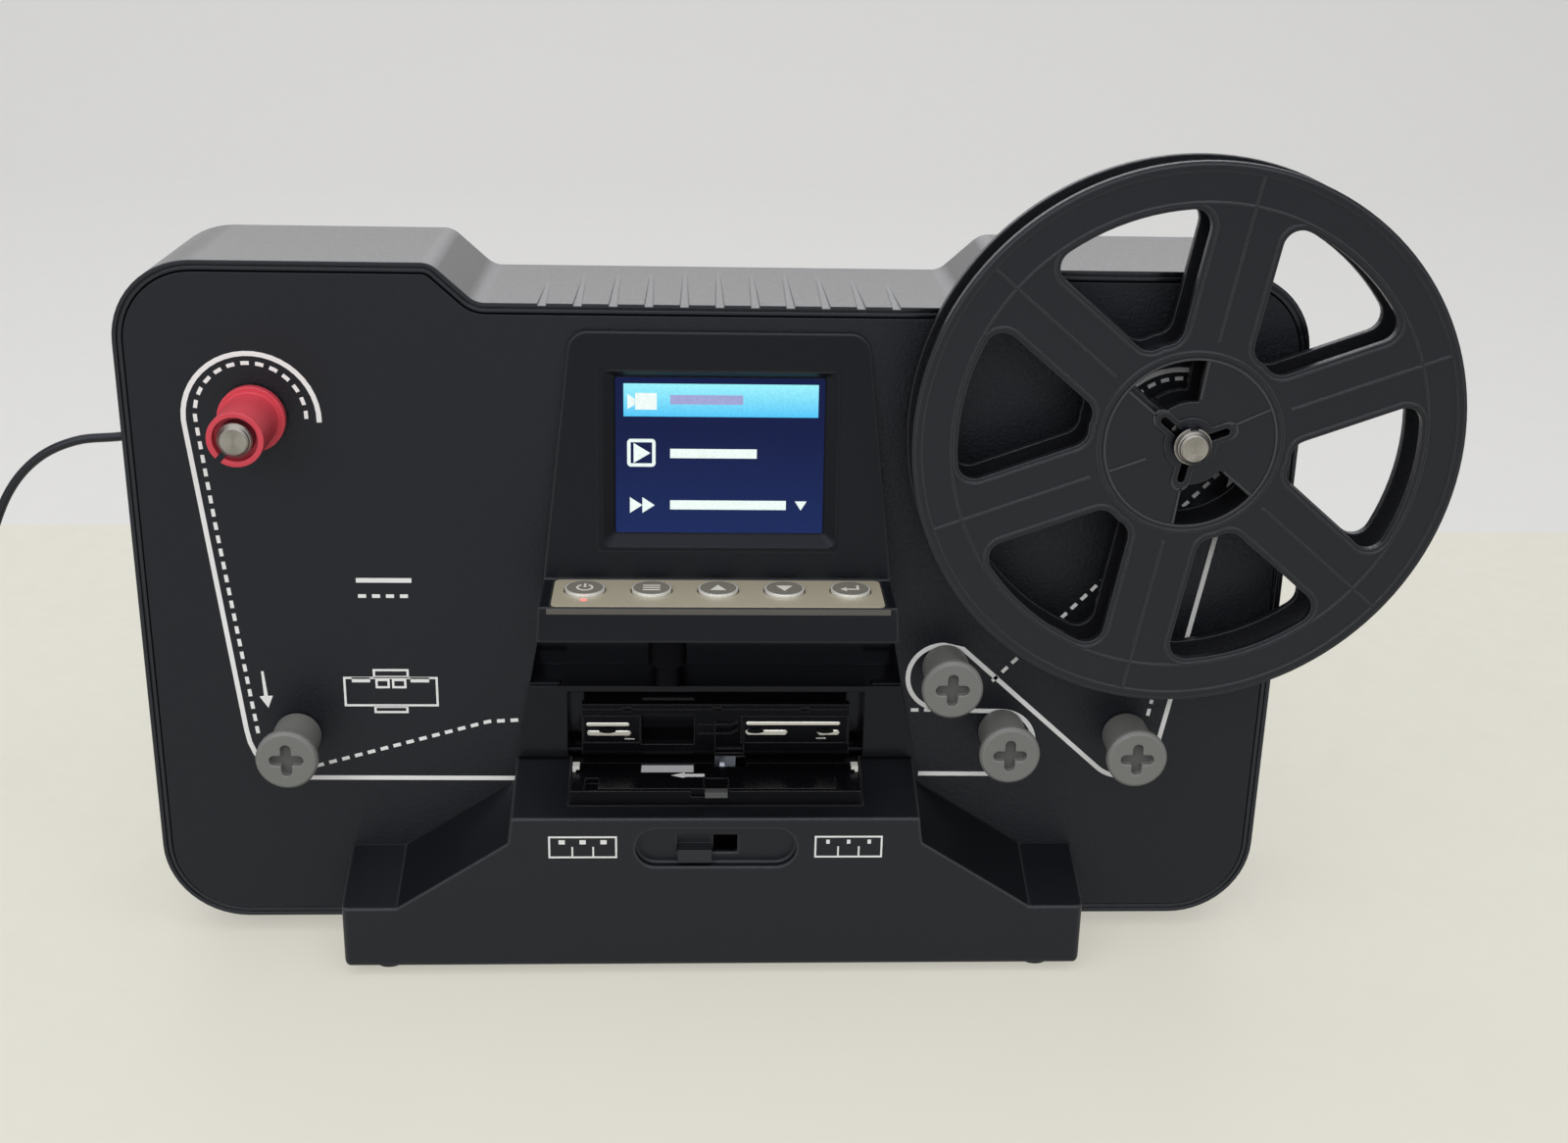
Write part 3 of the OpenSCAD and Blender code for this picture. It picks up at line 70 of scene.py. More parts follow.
def moulded(name, colour, rough, grain=0.5, relief=0.1, mottle=0.12, edge_highlight=0.25, bevel=0.3, metal=0.0,
            shine=0.5, spread=0.06, turned=0.0):
    """A moulded or turned surface. grain and bevel are in mm: a fine grain drives the relief and the
    gloss, a broad cloud varies the colour, and edges are rounded and painted lighter as a highlight."""
    made = bpy.data.materials.new(name)
    made.use_nodes = True
    tree = made.node_tree
    shader = tree.nodes["Principled BSDF"]
    shader.inputs["Metallic"].default_value = metal
    shader.inputs["Specular IOR Level"].default_value = shine
    shader.inputs["Specular Tint"].default_value = (0.78, 0.83, 1, 1)
    if turned:
        lathe_marks = tree.nodes.new("ShaderNodeTangent")
        lathe_marks.direction_type = "RADIAL"
        lathe_marks.axis = "Y"
        shader.inputs["Anisotropic"].default_value = turned
        link(tree, lathe_marks.outputs["Tangent"], shader.inputs["Tangent"])
    place = tree.nodes.new("ShaderNodeTexCoord").outputs["Object"]
    cloud = tree.nodes.new("ShaderNodeTexNoise")
    cloud.inputs["Scale"].default_value = 45
    cloud.inputs["Detail"].default_value = 5
    fine = tree.nodes.new("ShaderNodeTexNoise")
    fine.inputs["Scale"].default_value = 1 / (grain * MM)
    fine.inputs["Detail"].default_value = 3
    link(tree, place, cloud.inputs["Vector"])
    link(tree, place, fine.inputs["Vector"])
    tone = tree.nodes.new("ShaderNodeMix")
    tone.data_type = "RGBA"
    tone.inputs["A"].default_value = (*[c * (1 - mottle) for c in colour], 1)
    tone.inputs["B"].default_value = (*[min(1, c * (1 + mottle)) for c in colour], 1)
    link(tree, cloud.outputs["Fac"], tone.inputs["Factor"])
    round_edge = tree.nodes.new("ShaderNodeBevel")
    round_edge.samples = 4
    round_edge.inputs["Radius"].default_value = bevel * MM
    true_normal = tree.nodes.new("ShaderNodeNewGeometry")
    facing = tree.nodes.new("ShaderNodeVectorMath")
    facing.operation = "DOT_PRODUCT"
    link(tree, round_edge.outputs["Normal"], facing.inputs[0])
    link(tree, true_normal.outputs["Normal"], facing.inputs[1])
    # Painted highlight: the edges are found where the rounded normal leans off the true one.
    edge_highlight_mask = tree.nodes.new("ShaderNodeMapRange")
    edge_highlight_mask.inputs["From Min"].default_value = 0.995
    edge_highlight_mask.inputs["From Max"].default_value = 0.85
    edge_highlight_mask.inputs["To Max"].default_value = edge_highlight
    link(tree, facing.outputs["Value"], edge_highlight_mask.inputs["Value"])
    # Painted highlight: the edges are mixed towards a paler copy of the colour, standing in for the light they
    # catch.
    edge_highlight_paint = tree.nodes.new("ShaderNodeMix")
    edge_highlight_paint.data_type = "RGBA"
    edge_highlight_paint.inputs["B"].default_value = (*[min(1, 0.06 + c * 1.6) for c in colour], 1)
    link(tree, edge_highlight_mask.outputs["Result"], edge_highlight_paint.inputs["Factor"])
    link(tree, tone.outputs["Result"], edge_highlight_paint.inputs["A"])
    link(tree, edge_highlight_paint.outputs["Result"], shader.inputs["Base Color"])
    gloss = tree.nodes.new("ShaderNodeMapRange")
    gloss.inputs["From Min"].default_value = 0.3
    gloss.inputs["From Max"].default_value = 0.7
    gloss.inputs["To Min"].default_value = max(0.02, rough - spread)
    gloss.inputs["To Max"].default_value = min(1, rough + spread)
    link(tree, fine.outputs["Fac"], gloss.inputs["Value"])
    link(tree, gloss.outputs["Result"], shader.inputs["Roughness"])
    bump = tree.nodes.new("ShaderNodeBump")
    bump.inputs["Strength"].default_value = relief
    bump.inputs["Distance"].default_value = grain * MM * 0.5
    link(tree, fine.outputs["Fac"], bump.inputs["Height"])
    link(tree, round_edge.outputs["Normal"], bump.inputs["Normal"])
    link(tree, bump.outputs["Normal"], shader.inputs["Normal"])
    return made


def paint(material, *names):
    for n in names:
        nodes[n].data.materials.clear()
        nodes[n].data.materials.append(material)


def through(route, steps):
    """Points of a smooth curve through the route's places, as the solid model draws it."""
    out, last = [], len(route) - 1
    for i in range(last):
        a, b, c, d = (Vector(route[min(max(i + k, 0), last)]) for k in (-1, 0, 1, 2))
        for k in range(steps):
            t = k / steps
            out.append((2 * b + (c - a) * t + (2 * a - 5 * b + 4 * c - d) * t * t
                        + (3 * b - a - 3 * c + d) * t ** 3) / 2)
    return out + [Vector(route[last])]


def new_piece(name, data, body, material):
    made = bpy.data.objects.new(name, data)
    bpy.context.scene.collection.objects.link(made)
    data.materials.append(material)
    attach(made, body)
    return made


cord_r, lie_z = 1.25, -1.7
coil_x, coil_y, coil_r, turns, turn_steps = -262, 62, 20, 12, 48
lane, layer, layer_turns, ramp = 3.05, 3.05, 3, 0.5
lead = [(-118, 71.3, 112), (-118, 76.3, 112), (-122, 83, 111), (-132, 87, 108.5), (-146, 86, 105.5),
        (-162, 82, 104), (-174, 80, 103.2), (-185, 80, 98), (-194, 80, 88), (-201, 79, 72),
        (-207, 76, 52), (-214, 71, 32), (-222, 64, 15), (-232, 54, 4), (-242, 46.4, lie_z),
        (-251, 42.6, lie_z), (-257, 42, lie_z), (-259.5, 42, lie_z)]
tail_z = lie_z + 3 * layer
tail = [(-264.5, 42, tail_z), (-267, 42, tail_z), (-273, 41, 6), (-280, 37.5, 4.2), (-284.5, 31, 3.2),
        (-286, 24.5, 3), (-286, 22, 3)]
wound = []
for i in range(turns * turn_steps + 1):
    t = i / turn_steps
    r = coil_r - lane * (layer_turns - abs(layer_turns - t % (2 * layer_turns)))
    climb = sum(min(max((t - layer_turns * k + ramp / 2) / ramp, 0), 1) for k in (1, 2, 3))
    a = math.radians(-90 - 360 * t)
    wound.append(Vector((coil_x + r * math.cos(a), coil_y + r * math.sin(a), lie_z + layer * climb)))
cord_points = [p * MM for p in through(lead, 8) + wound + through(tail, 6)]
cord_curve = bpy.data.curves.new("power_cord", "CURVE")
cord_curve.dimensions = "3D"
cord_curve.bevel_depth = cord_r * MM
cord_curve.bevel_resolution = 4
cord_curve.use_fill_caps = True
spline = cord_curve.splines.new("POLY")
spline.points.add(len(cord_points) - 1)
for point, co in zip(spline.points, cord_points):
    point.co = (*co, 1)
pvc = moulded("cord_pvc", (0.012, 0.012, 0.013), 0.42, grain=0.8, relief=0.06, bevel=0.15)
cord = new_piece("power_cord", cord_curve, "scanner_body", pvc)
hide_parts("power_lead", "power_coil")
paint(pvc, "power_plug", "wall_adapter")


# Twist tie over the coil
# A flat plastic-coated wire, bent over the wound lead on its left side so that the turns stay together.
ON_PANEL = Matrix(((1, 0, 0, 0), (0, 0, -1, 0), (0, 1, 0, 0), (0, 0, 0, 1)))


def add_loop(work, outline, height, place):
    return [work.verts.new(place @ (Vector((u, v, height)) * MM)) for u, v in outline]


def add_wall(work, low, high):
    """The faces between two loops that have equally many corners."""
    for i in range(len(low)):
        j = (i + 1) % len(low)
        work.faces.new((low[i], low[j], high[j], high[i]))


def add_plate(work, outline, low, high, place):
    """A closed flat solid: an outline in mm in the plane of place, from low to high above it."""
    bottom = add_loop(work, outline, low, place)
    top = add_loop(work, outline, high, place)
    work.faces.new(bottom[::-1])
    work.faces.new(top)
    add_wall(work, bottom, top)


def add_line(work, path, width, low, high, place, closed=False):
    """A closed ribbon of that width along a path in mm, mitred at its bends."""
    path = [Vector(p) for p in path]
    count = len(path)
    sides = []
    for i, p in enumerate(path):
        before = path[i - 1] if i or closed else None
        after = path[(i + 1) % count] if i < count - 1 or closed else None
        runs = [(q - r).normalized() for q, r in ((p, before), (after, p)) if q is not None and r is not None]
        mean = sum(runs, Vector((0, 0))).normalized()
        out = Vector((-mean.y, mean.x)) * (width / 2 / max(0.5, mean.dot(runs[0])))
        sides.append([work.verts.new(place @ (Vector((*(p + out * s), h)) * MM))
                      for s, h in ((1, low), (-1, low), (-1, high), (1, high))])
    for i in range(count if closed else count - 1):
        add_wall(work, sides[i], sides[(i + 1) % count])
    if not closed:
        work.faces.new(sides[0][::-1])
        work.faces.new(sides[-1])


def closed_mesh(work, name):
    bmesh.ops.recalc_face_normals(work, faces=work.faces)
    mesh = bpy.data.meshes.new(name)
    work.to_mesh(mesh)
    work.free()
    return mesh


def flat_piece(name, body, material, plates=(), lines=(), place=ON_PANEL, low=-0.02, high=0.05, slot=None):
    """One piece made of flat outlines and of lines, each line a path, its width and whether it closes."""
    work = bmesh.new()
    for outline in plates:
        add_plate(work, outline, low, high, place)
    for path, width, closed in lines:
        add_line(work, path, width, low, high, place, closed)
    return new_piece(name, closed_mesh(work, name), body, material)


tie_hoop = [(-284.2, -2.9), (-284.2, 8.4), (-282.9, 9.7), (-271.6, 9.7), (-270.3, 8.4), (-270.3, -2.9),
            (-269.8, -2.9), (-269.8, 8.6), (-271.4, 10.2), (-283.1, 10.2), (-284.7, 8.6), (-284.7, -2.9)]
tie = flat_piece("cord_tie", "scanner_body", pvc, [tie_hoop], low=-63.8, high=-60.2, slot="cord_black")


# Housing
# One hollow moulding in satin black plastic: the tall thin back half with a lowered middle and vent
# grooves on its top. Six screws from behind hold the front panel to it.
shell_black = moulded("shell_black", (0.0042, 0.0044, 0.0052), 0.22, grain=0.45, relief=0.05, bevel=0.5,
                      edge_highlight=0.06, shine=0.6, spread=0.04)
paint(shell_black, "rear_housing")
screw_steel = moulded("screw_steel", (0.16, 0.16, 0.165), 0.36, grain=0.3, metal=1, bevel=0.1)
paint(screw_steel, "housing_screws", "claw_rail", "roller_pins")


# Front panel and its printed film route
# A flat moulding with a fine spark-eroded grain, set into the housing's rim. The white route lines are
# screen printed on it: solid for the way to record, dashed for the way to rewind, and a film drawing.
panel_black = moulded("panel_black", (0.0052, 0.0055, 0.0066), 0.45, grain=0.8, relief=0.3, bevel=0.4,
                      edge_highlight=0.1, shine=0.42, spread=0.12)
paint(panel_black, "front_panel")


def arc(cx, cy, r, a0, a1, steps=24):
    turn = [math.radians(a0 + (a1 - a0) * i / steps) for i in range(steps + 1)]
    return [(cx + r * math.cos(a), cy + r * math.sin(a)) for a in turn]


def rectangle(x0, y0, x1, y1):
    return [(x0, y0), (x1, y0), (x1, y1), (x0, y1)]


def dashes(path, on, off):
    """The stretches of a path that a dashed line inks."""
    out, now, left, inked = [], [Vector(path[0])], on, True
    for a, b in zip(path, path[1:]):
        a, b = Vector(a), Vector(b)
        while (b - a).length > left:
            a = a + (b - a).normalized() * left
            if inked:
                out.append(now + [a])
            inked = not inked
            left = on if inked else off
            now = [a]
        left -= (b - a).length
        now.append(b)
    return out + ([now] if inked and len(now) > 1 and (now[-1] - now[0]).length > on / 3 else [])


white_ink = moulded("white_ink", (0.9, 0.9, 0.89), 0.6, grain=0.2, relief=0.12, mottle=0.06, edge_highlight=0, bevel=0.02)
solid_width, dash_width, dash_on, dash_off, thin_width = 1.15, 0.9, 1.9, 1.4, 0.55
left_run = [(-120.1, 105.5), (-114.5, 53.9), (-113.9, 50.5), (-112.8, 47.6), (-110.6, 44.3), (-107.2, 42),
            (-103, 41), (-99.2, 40.9), (-49.7, 40.7)]
right_run = ([(50.7, 41.9), (68.5, 41.8)] + arc(70.6, 50.4, 8.6, -90, 90)
             + [(63.6, 59.1)] + arc(55.6, 68.1, 8.6, -90, -270) + [(60.3, 75.6)]
             + arc(101.9, 50.2, 9, -132, 8) + [(112.7, 62.1), (115.6, 80.5), (119.9, 105.7)]
             + arc(107.6, 130.2, 16, -9, 142))
solid_lines = [arc(-107.5, 132.4, 15.45, -2.5, 189) + left_run, right_run, [(-85.9, 92.9), (-72.8, 92.9)]]
dashed_lines = [arc(-107.6, 133, 12.65, -2, 188) + [(-117.5, 104.3), (-111.7, 52.6)],
                [(-98.2, 44.1), (-55.7, 56.1), (-48.5, 56.5)], [(-85.6, 88.9), (-72.4, 88.9)],
                [(48.1, 59.3), (53, 59.3)], [(67.9, 67.1), (119, 121)], [(107.4, 57.8), (108.1, 62.1)],
                arc(107.6, 130.2, 13.9, -35, 142)]
flat_piece("route_print", "scanner_body", white_ink,
           lines=[(p, solid_width, False) for p in solid_lines]
           + [(d, dash_width, False) for p in dashed_lines for d in dashes(p, dash_on, dash_off)])
run_arrow = [(-108.8, 59.7), (-107.5, 62.9), (-108.7, 62.9), (-109.3, 69.4), (-109.9, 69.3), (-109.6, 62.9),
             (-110.7, 62.7)]
tabs_drawn = [rectangle(-88.3, 66.5, -83.9, 67.8), rectangle(-74.2, 66.5, -69.7, 67.8)]
gate_drawn = [rectangle(-90.1, 60.4, -67.9, 67.65), rectangle(-82.9, 67.9, -74.8, 69.7),
              rectangle(-82.4, 65.2, -79.5, 67.1), rectangle(-78.4, 65.2, -75.5, 67.1),
              rectangle(-83, 58.6, -75.3, 60.0)]
flat_piece("film_drawing", "scanner_body", white_ink, plates=tabs_drawn + [run_arrow],
           lines=[(p, thin_width, True) for p in gate_drawn])


# Screen console
# A tilted hood in the same satin black, clipped into the panel, with a clear window set in behind its
# face, in a surround with rounded corners, and the display module behind that. The menu glows: symbols,
# a lit row and plain bars as its entries.
hood_black = moulded("hood_black", (0.0034, 0.0037, 0.0047), 0.34, grain=0.4, relief=0.08, bevel=0.9,
                     edge_highlight=0.85, shine=0.31)
paint(hood_black, "console_cover")
window_glass = moulded("window_glass", (0.006, 0.007, 0.012), 0.08, grain=2, relief=0.01, bevel=0.1, spread=0.02)
paint(window_glass, "screen_window", "screen_module")
screen_y, screen_z, face_tilt = -3.491, 124.9, 4.894
ON_SCREEN = (Matrix.Translation(Vector((0, screen_y, screen_z)) * MM)
             @ Matrix.Rotation(math.radians(-face_tilt), 4, "X") @ ON_PANEL)


def rounded(x0, y0, x1, y1, r):
    """A rectangle with rounded corners, seven points to each."""
    corners = ((x1 - r, y1 - r, 0), (x0 + r, y1 - r, 90), (x0 + r, y0 + r, 180), (x1 - r, y0 + r, 270))
    return [p for cx, cy, a in corners for p in arc(cx, cy, r, a, a + 90, 6)]


border = rounded(-28.7, -23.1, 28.7, 21.5, 0.3)
rim = rounded(-27, -21.4, 27.7, 20.6, 2.2)
opening = rounded(-24, -18.45, 24.6, 18.5, 0.6)
surround_work = bmesh.new()
loops = [add_loop(surround_work, outline, height, ON_SCREEN)
         for outline, height in ((border, -1.9), (border, -0.02), (rim, 0.03), (opening, -2.06))]
for low, high in zip(loops, loops[1:] + loops[:1]):
    add_wall(surround_work, low, high)
surround_black = moulded("surround_satin", (0.0034, 0.0037, 0.0047), 0.4, grain=0.4, relief=0.08, bevel=0.5,
                         edge_highlight=0.3, shine=0.26)
new_piece("screen_surround", closed_mesh(surround_work, "screen_surround"), "scanner_body", surround_black)


def glowing(name, low_colour, high_colour, z0, z1, strength=1.0, rough=0.12):
    """A lit surface whose colour runs from one height to another, with the fine raster of a display."""
    made = bpy.data.materials.new(name)
    made.use_nodes = True
    tree = made.node_tree
    shader = tree.nodes["Principled BSDF"]
    shader.inputs["Base Color"].default_value = (0.01, 0.01, 0.012, 1)
    shader.inputs["Roughness"].default_value = rough
    shader.inputs["Specular IOR Level"].default_value = 0.05
    place = tree.nodes.new("ShaderNodeTexCoord").outputs["Object"]
    parts = tree.nodes.new("ShaderNodeSeparateXYZ")
    link(tree, place, parts.inputs["Vector"])
    run = tree.nodes.new("ShaderNodeMapRange")
    run.inputs["From Min"].default_value = z0 * MM
    run.inputs["From Max"].default_value = z1 * MM
    link(tree, parts.outputs["Z"], run.inputs["Value"])
    tone = tree.nodes.new("ShaderNodeMix")
    tone.data_type = "RGBA"
    tone.inputs["A"].default_value = (*low_colour, 1)
    tone.inputs["B"].default_value = (*high_colour, 1)
    link(tree, run.outputs["Result"], tone.inputs["Factor"])
    raster = tree.nodes.new("ShaderNodeTexNoise")
    raster.inputs["Scale"].default_value = 1600
    link(tree, place, raster.inputs["Vector"])
    shade = tree.nodes.new("ShaderNodeMapRange")
    shade.inputs["To Min"].default_value = 0.85 * strength
    shade.inputs["To Max"].default_value = 1.15 * strength
    link(tree, raster.outputs["Fac"], shade.inputs["Value"])
    link(tree, tone.outputs["Result"], shader.inputs["Emission Color"])
    link(tree, shade.outputs["Result"], shader.inputs["Emission Strength"])
    return made


glass_depth, lit_film = -2.1, 0.03


def on_glass(name, material, rise, plates, lines=()):
    """A lit form on the display, its foot rise mm above the glass."""
    foot = glass_depth + rise
    flat_piece(name, "scanner_body", material, plates, lines, ON_SCREEN, foot, foot + lit_film, "screen_glass")


menu_navy = glowing("menu_navy", (0.004, 0.017, 0.1), (0.0008, 0.006, 0.055), screen_z - 18, screen_z + 6)
menu_bar = glowing("menu_bar", (0.05, 0.53, 0.95), (0.34, 0.9, 0.97), screen_z + 8, screen_z + 17)
menu_white = glowing("menu_white", (0.86, 0.97, 0.93), (0.86, 0.97, 0.93), 0, 1)
menu_violet = glowing("menu_violet", (0.36, 0.38, 0.66), (0.36, 0.38, 0.66), 0, 1)
film_camera = [rectangle(-19.4, 10.9, -14.4, 14.8), [(-21.2, 14.6), (-19.5, 13.4), (-19.5, 12), (-21.2, 11)]]
play_mark = [[(-19.8, 3), (-19.8, -1.7), (-15.9, 0.65)]]
wind_marks = [[(x, -9.9), (x, -13.7), (x + 2.9, -11.8)] for x in (-20.7, -17.8)]
entry_bars = [rectangle(-11.3, -0.5, 8.9, 1.7), rectangle(-11.3, -12.8, 15.9, -10.6)]
more_mark = [[(18, -10.7), (20.8, -10.7), (19.4, -12.9)]]
on_glass("menu_field", menu_navy, -0.01, [rectangle(-24.6, -18.4, 24.6, 18.4)])
on_glass("menu_lit_row", menu_bar, 0.01, [rectangle(-22.1, 9.3, 23.1, 17)])
on_glass("menu_symbols", menu_white, 0.03, film_camera + play_mark + wind_marks + entry_bars + more_mark,
         [(rounded(-20.9, -2.2, -15.1, 3.6, 0.5), 0.8, True)])
on_glass("menu_chosen", menu_violet, 0.03, [rectangle(-11.3, 12.2, 5.6, 14.4)])


# Key plate, keys and indicator light
# A champagne-painted plate over the ledge. Each key is a grey cap with a bright turned rim, moulded loose
# in its hole and pushed up by a rubber dome; its symbol is printed. A red light pipe shows power.
champagne = moulded("champagne_paint", (0.5, 0.45, 0.335), 0.42, grain=0.25, relief=0.05, mottle=0.05,
                    bevel=0.25, metal=0.25, edge_highlight=0.2)
paint(champagne, "key_plate")
# The plate's upright front lip is painted a dark brown-grey: the champagne in painted shade.
lip_shade_paint = moulded("lip_shade_paint", (0.105, 0.096, 0.082), 0.42, grain=0.25, relief=0.05, bevel=0.15)
ON_LIP = Matrix.Translation((0, -24.2 * MM, 0)) @ ON_PANEL
flat_piece("plate_lip", "scanner_body", lip_shade_paint, [rectangle(-39.1, 93.9, 39.4, 95.3)], place=ON_LIP,
           slot="champagne")
bright_rim = moulded("bright_rim", (0.9, 0.89, 0.84), 0.3, grain=0.3, relief=0.03, metal=0.4, bevel=0.2)
key_names = ["power", "menu", "up", "down", "enter"]
key_pitch, key_y, key_top = 15.45, -13.4, 96.4
paint(bright_rim, *["key_" + n for n in key_names])
key_grey = moulded("key_grey", (0.2, 0.185, 0.155), 0.4, grain=0.2, relief=0.04, mottle=0.05, bevel=0.1)
pale_ink = moulded("pale_ink", (0.72, 0.7, 0.63), 0.5, grain=0.2, relief=0.05, mottle=0.04, edge_highlight=0, bevel=0.02)
key_face = arc(0, 0.1, 4.25, 0, 352.5, 47)
symbols = {
    "power": ([], [(arc(0, -0.1, 1.75, 120, 420), 0.55, False), ([(0, 2.3), (0, 0.1)], 0.55, False)]),
    "menu": ([], [([(-2, v), (2, v)], 0.6, False) for v in (-1.4, 0, 1.4)]),
    "up": ([[(-1.9, -1.5), (1.9, -1.5), (0, 1.9)]], []),
    "down": ([[(-1.9, 1.5), (0, -1.9), (1.9, 1.5)]], []),
    "enter": ([[(-2.4, -0.6), (-0.9, 0.7), (-0.9, -1.9)]],
              [([(-1, -0.6), (1.7, -0.6), (1.7, 1.8)], 0.6, False)]),
}
for i, n in enumerate(key_names):
    key_place = Matrix.Translation(Vector((key_pitch * (i - 2), key_y, key_top)) * MM)
    flat_piece("key_face_" + n, "key_" + n, key_grey, [key_face], place=key_place, slot="key_grey")
    flat_piece("key_symbol_" + n, "key_" + n, pale_ink, *symbols[n], place=key_place, low=0.03, high=0.08,
               slot="champagne")
light_red = glowing("light_red", (0.95, 0.16, 0.14), (1, 0.45, 0.4), 95, 97, 1.2)
paint(light_red, "indicator_light")


# Film gate
# A glossy black surround with a door that opens upward on its hinge, spring-steel strips that press the
# film down, a bed with a milky light window, two white tabs that guide the film, and a latch slide.
gate_black = moulded("gate_black", (0.0026, 0.0026, 0.0034), 0.26, grain=0.6, relief=0.05, bevel=0.35,
                     edge_highlight=0.9, shine=0.1)
paint(gate_black, "gate_door", "film_bed", "gate_latch", "hinge_pin")
frame_black = moulded("surround_black", (0.0036, 0.0036, 0.0042), 0.14, grain=0.5, relief=0.03, bevel=0.4,
                      edge_highlight=0.12, shine=0.26, spread=0.04)
paint(frame_black, "gate_frame")
lens_black = moulded("lens_black", (0.002, 0.002, 0.003), 0.5, grain=0.3, bevel=0.4, edge_highlight=0.3, shine=0.08)
paint(lens_black, "lens_barrel")
strip_steel = moulded("strip_steel", (0.62, 0.61, 0.58), 0.2, grain=0.25, relief=0.05, metal=1, bevel=0.1)
ON_DOOR = Matrix.Translation((0, 0.2 * MM, 0)) @ ON_PANEL


def add_strip(work, x0, x1, z, half):
    """A spring strip with rounded ends, crowned towards the film; all in mm."""
    rings = []
    for inset, proud in ((0, -0.02), (0, 0.16), (0.16, 0.31), (0.42, 0.4)):
        r = half * (1 - inset)
        ends = arc(x1 - half, z, r, -90, 90, 10) + arc(x0 + half, z, r, 90, 270, 10)
        rings.append(add_loop(work, ends, proud, ON_DOOR))
    work.faces.new(rings[0])
    work.faces.new(rings[-1])
    for low, high in zip(rings, rings[1:]):
        add_wall(work, low, high)


strip_work = bmesh.new()
for x0, x1, z, half in ((-32, -21.2, 55.3, 0.6), (-31.8, -20.8, 52.9, 0.9), (7.3, 30.8, 55.6, 0.6),
                        (7.2, 17.8, 53.1, 0.9), (25, 30.7, 53.1, 0.9), (-22.6, -19.9, 51.4, 0.25),
                        (24.7, 27.4, 51.6, 0.25)):
    add_strip(strip_work, x0, x1, z, half)
springs = new_piece("film_springs", closed_mesh(strip_work, "film_springs"), "door", strip_steel)
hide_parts("pressure_strips")
# Dark ovals on the springs: painted shade where the strips are dimpled.
dimple_shade = moulded("dimple_shade", (0.004, 0.004, 0.004), 0.5, grain=0.3, bevel=0.05, shine=0.1)
hollow_half, hollow_rise, hollow_z = 2.1, 0.6, 53.6
around = [math.radians(a) for a in range(0, 360, 15)]
flat_piece("spring_dimple_shade", "door", dimple_shade,
           [[(x + hollow_half * math.cos(a), hollow_z + hollow_rise * math.sin(a)) for a in around]
            for x in (-26.7, 9.8, 27.1)], place=ON_DOOR, low=0.3, high=0.43)
rib_paths = [[(-32.8, 59.3), (32.8, 59.3)], [(-4.5, 55.2), (3.7, 55.2), (5.4, 56)],
             [(-4.5, 52.8), (3.7, 52.8), (5.4, 53.9)]]
rib_frames = [rectangle(-32.6, 50.3, -18.7, 57.5), rectangle(6.3, 50.3, 32.6, 57.5)]
rib_width = 0.4
flat_piece("door_ribs", "door", gate_black,
           [rectangle(x - 1.1, 58.6, x + 1.1, 60.1) for x in (-21.8, 0.3, 21.8)],
           [(p, rib_width, False) for p in rib_paths] + [(p, rib_width, True) for p in rib_frames],
           place=ON_DOOR, high=0.22)
tab_white = moulded("tab_white", (0.75, 0.74, 0.7), 0.45, grain=0.3, bevel=0.15, edge_highlight=0)
paint(tab_white, "film_tabs")
milky = glowing("milky_light", (0.9, 0.9, 0.93), (0.9, 0.9, 0.93), 0, 1, 0.32, 0.4)
paint(milky, "light_diffuser")
paint(moulded("claw_white", (0.72, 0.78, 0.92), 0.4, grain=0.3, bevel=0.15, edge_highlight=0), "film_claw")
ON_BED = Matrix.Translation((0, 0, 44.8 * MM))
bed_arrow = [(-10.9, -6.9), (-7.6, -5.4), (-7.6, -6.15), (-2.8, -6.15), (-2.8, -7.65), (-7.6, -7.65), (-7.6, -8.4)]
flat_piece("bed_arrow", "scanner_body", white_ink, [bed_arrow], place=ON_BED)
grip_grey = moulded("grip_grey", (0.085, 0.085, 0.085), 0.4, grain=0.3, bevel=0.15)
flat_piece("latch_grip", "latch", grip_grey, [rectangle(-2.7, -16.85, 2.7, -14.9)], low=0.38, high=0.46,
           place=ON_BED)
ON_LATCH = Matrix.Translation((0, -16.9 * MM, 0)) @ ON_PANEL
flat_piece("latch_front", "latch", grip_grey, [rectangle(-2.7, 43.7, 2.7, 45.15)], place=ON_LATCH)


# Base stand
# A stepped stand in satin black, screwed to the panel from inside, with a flat plate and four rubber feet
# below. A small slide in the front recess chooses the film; a film symbol stands on each side of it.
base_black = moulded("base_black", (0.0032, 0.0034, 0.0042), 0.38, grain=0.4, relief=0.08, bevel=1.1,
                     edge_highlight=1.0, shine=0.48)
paint(base_black, "base_stand", "base_plate")
paint(moulded("foot_rubber", (0.012, 0.012, 0.012), 0.75, grain=0.5, relief=0.2, bevel=0.3), "rubber_feet")
paint(moulded("slide_black", (0.014, 0.014, 0.015), 0.35, grain=0.4, bevel=0.25, edge_highlight=0.3), "selector_knob")
ON_BASE = Matrix.Translation((0, -20.3 * MM, 0)) @ ON_PANEL
hole_pitch = 5
for name, mid, hole in (("film_symbol_left", -32, 1.5), ("film_symbol_right", 32, 0.85)):
    holes = [mid + k * hole_pitch for k in (-1, 0, 1)]
    frame_lines = [mid - hole_pitch / 2, mid + hole_pitch / 2]
    flat_piece(name, "scanner_body", white_ink,
               [rectangle(x - hole / 2, 33.1, x + hole / 2, 34.2) for x in holes],
               [(rectangle(mid - 8, 29.6, mid + 8, 35), 0.45, True)]
               + [([(x, 29.8), (x, 32.4)], 0.4, False) for x in frame_lines], place=ON_BASE)


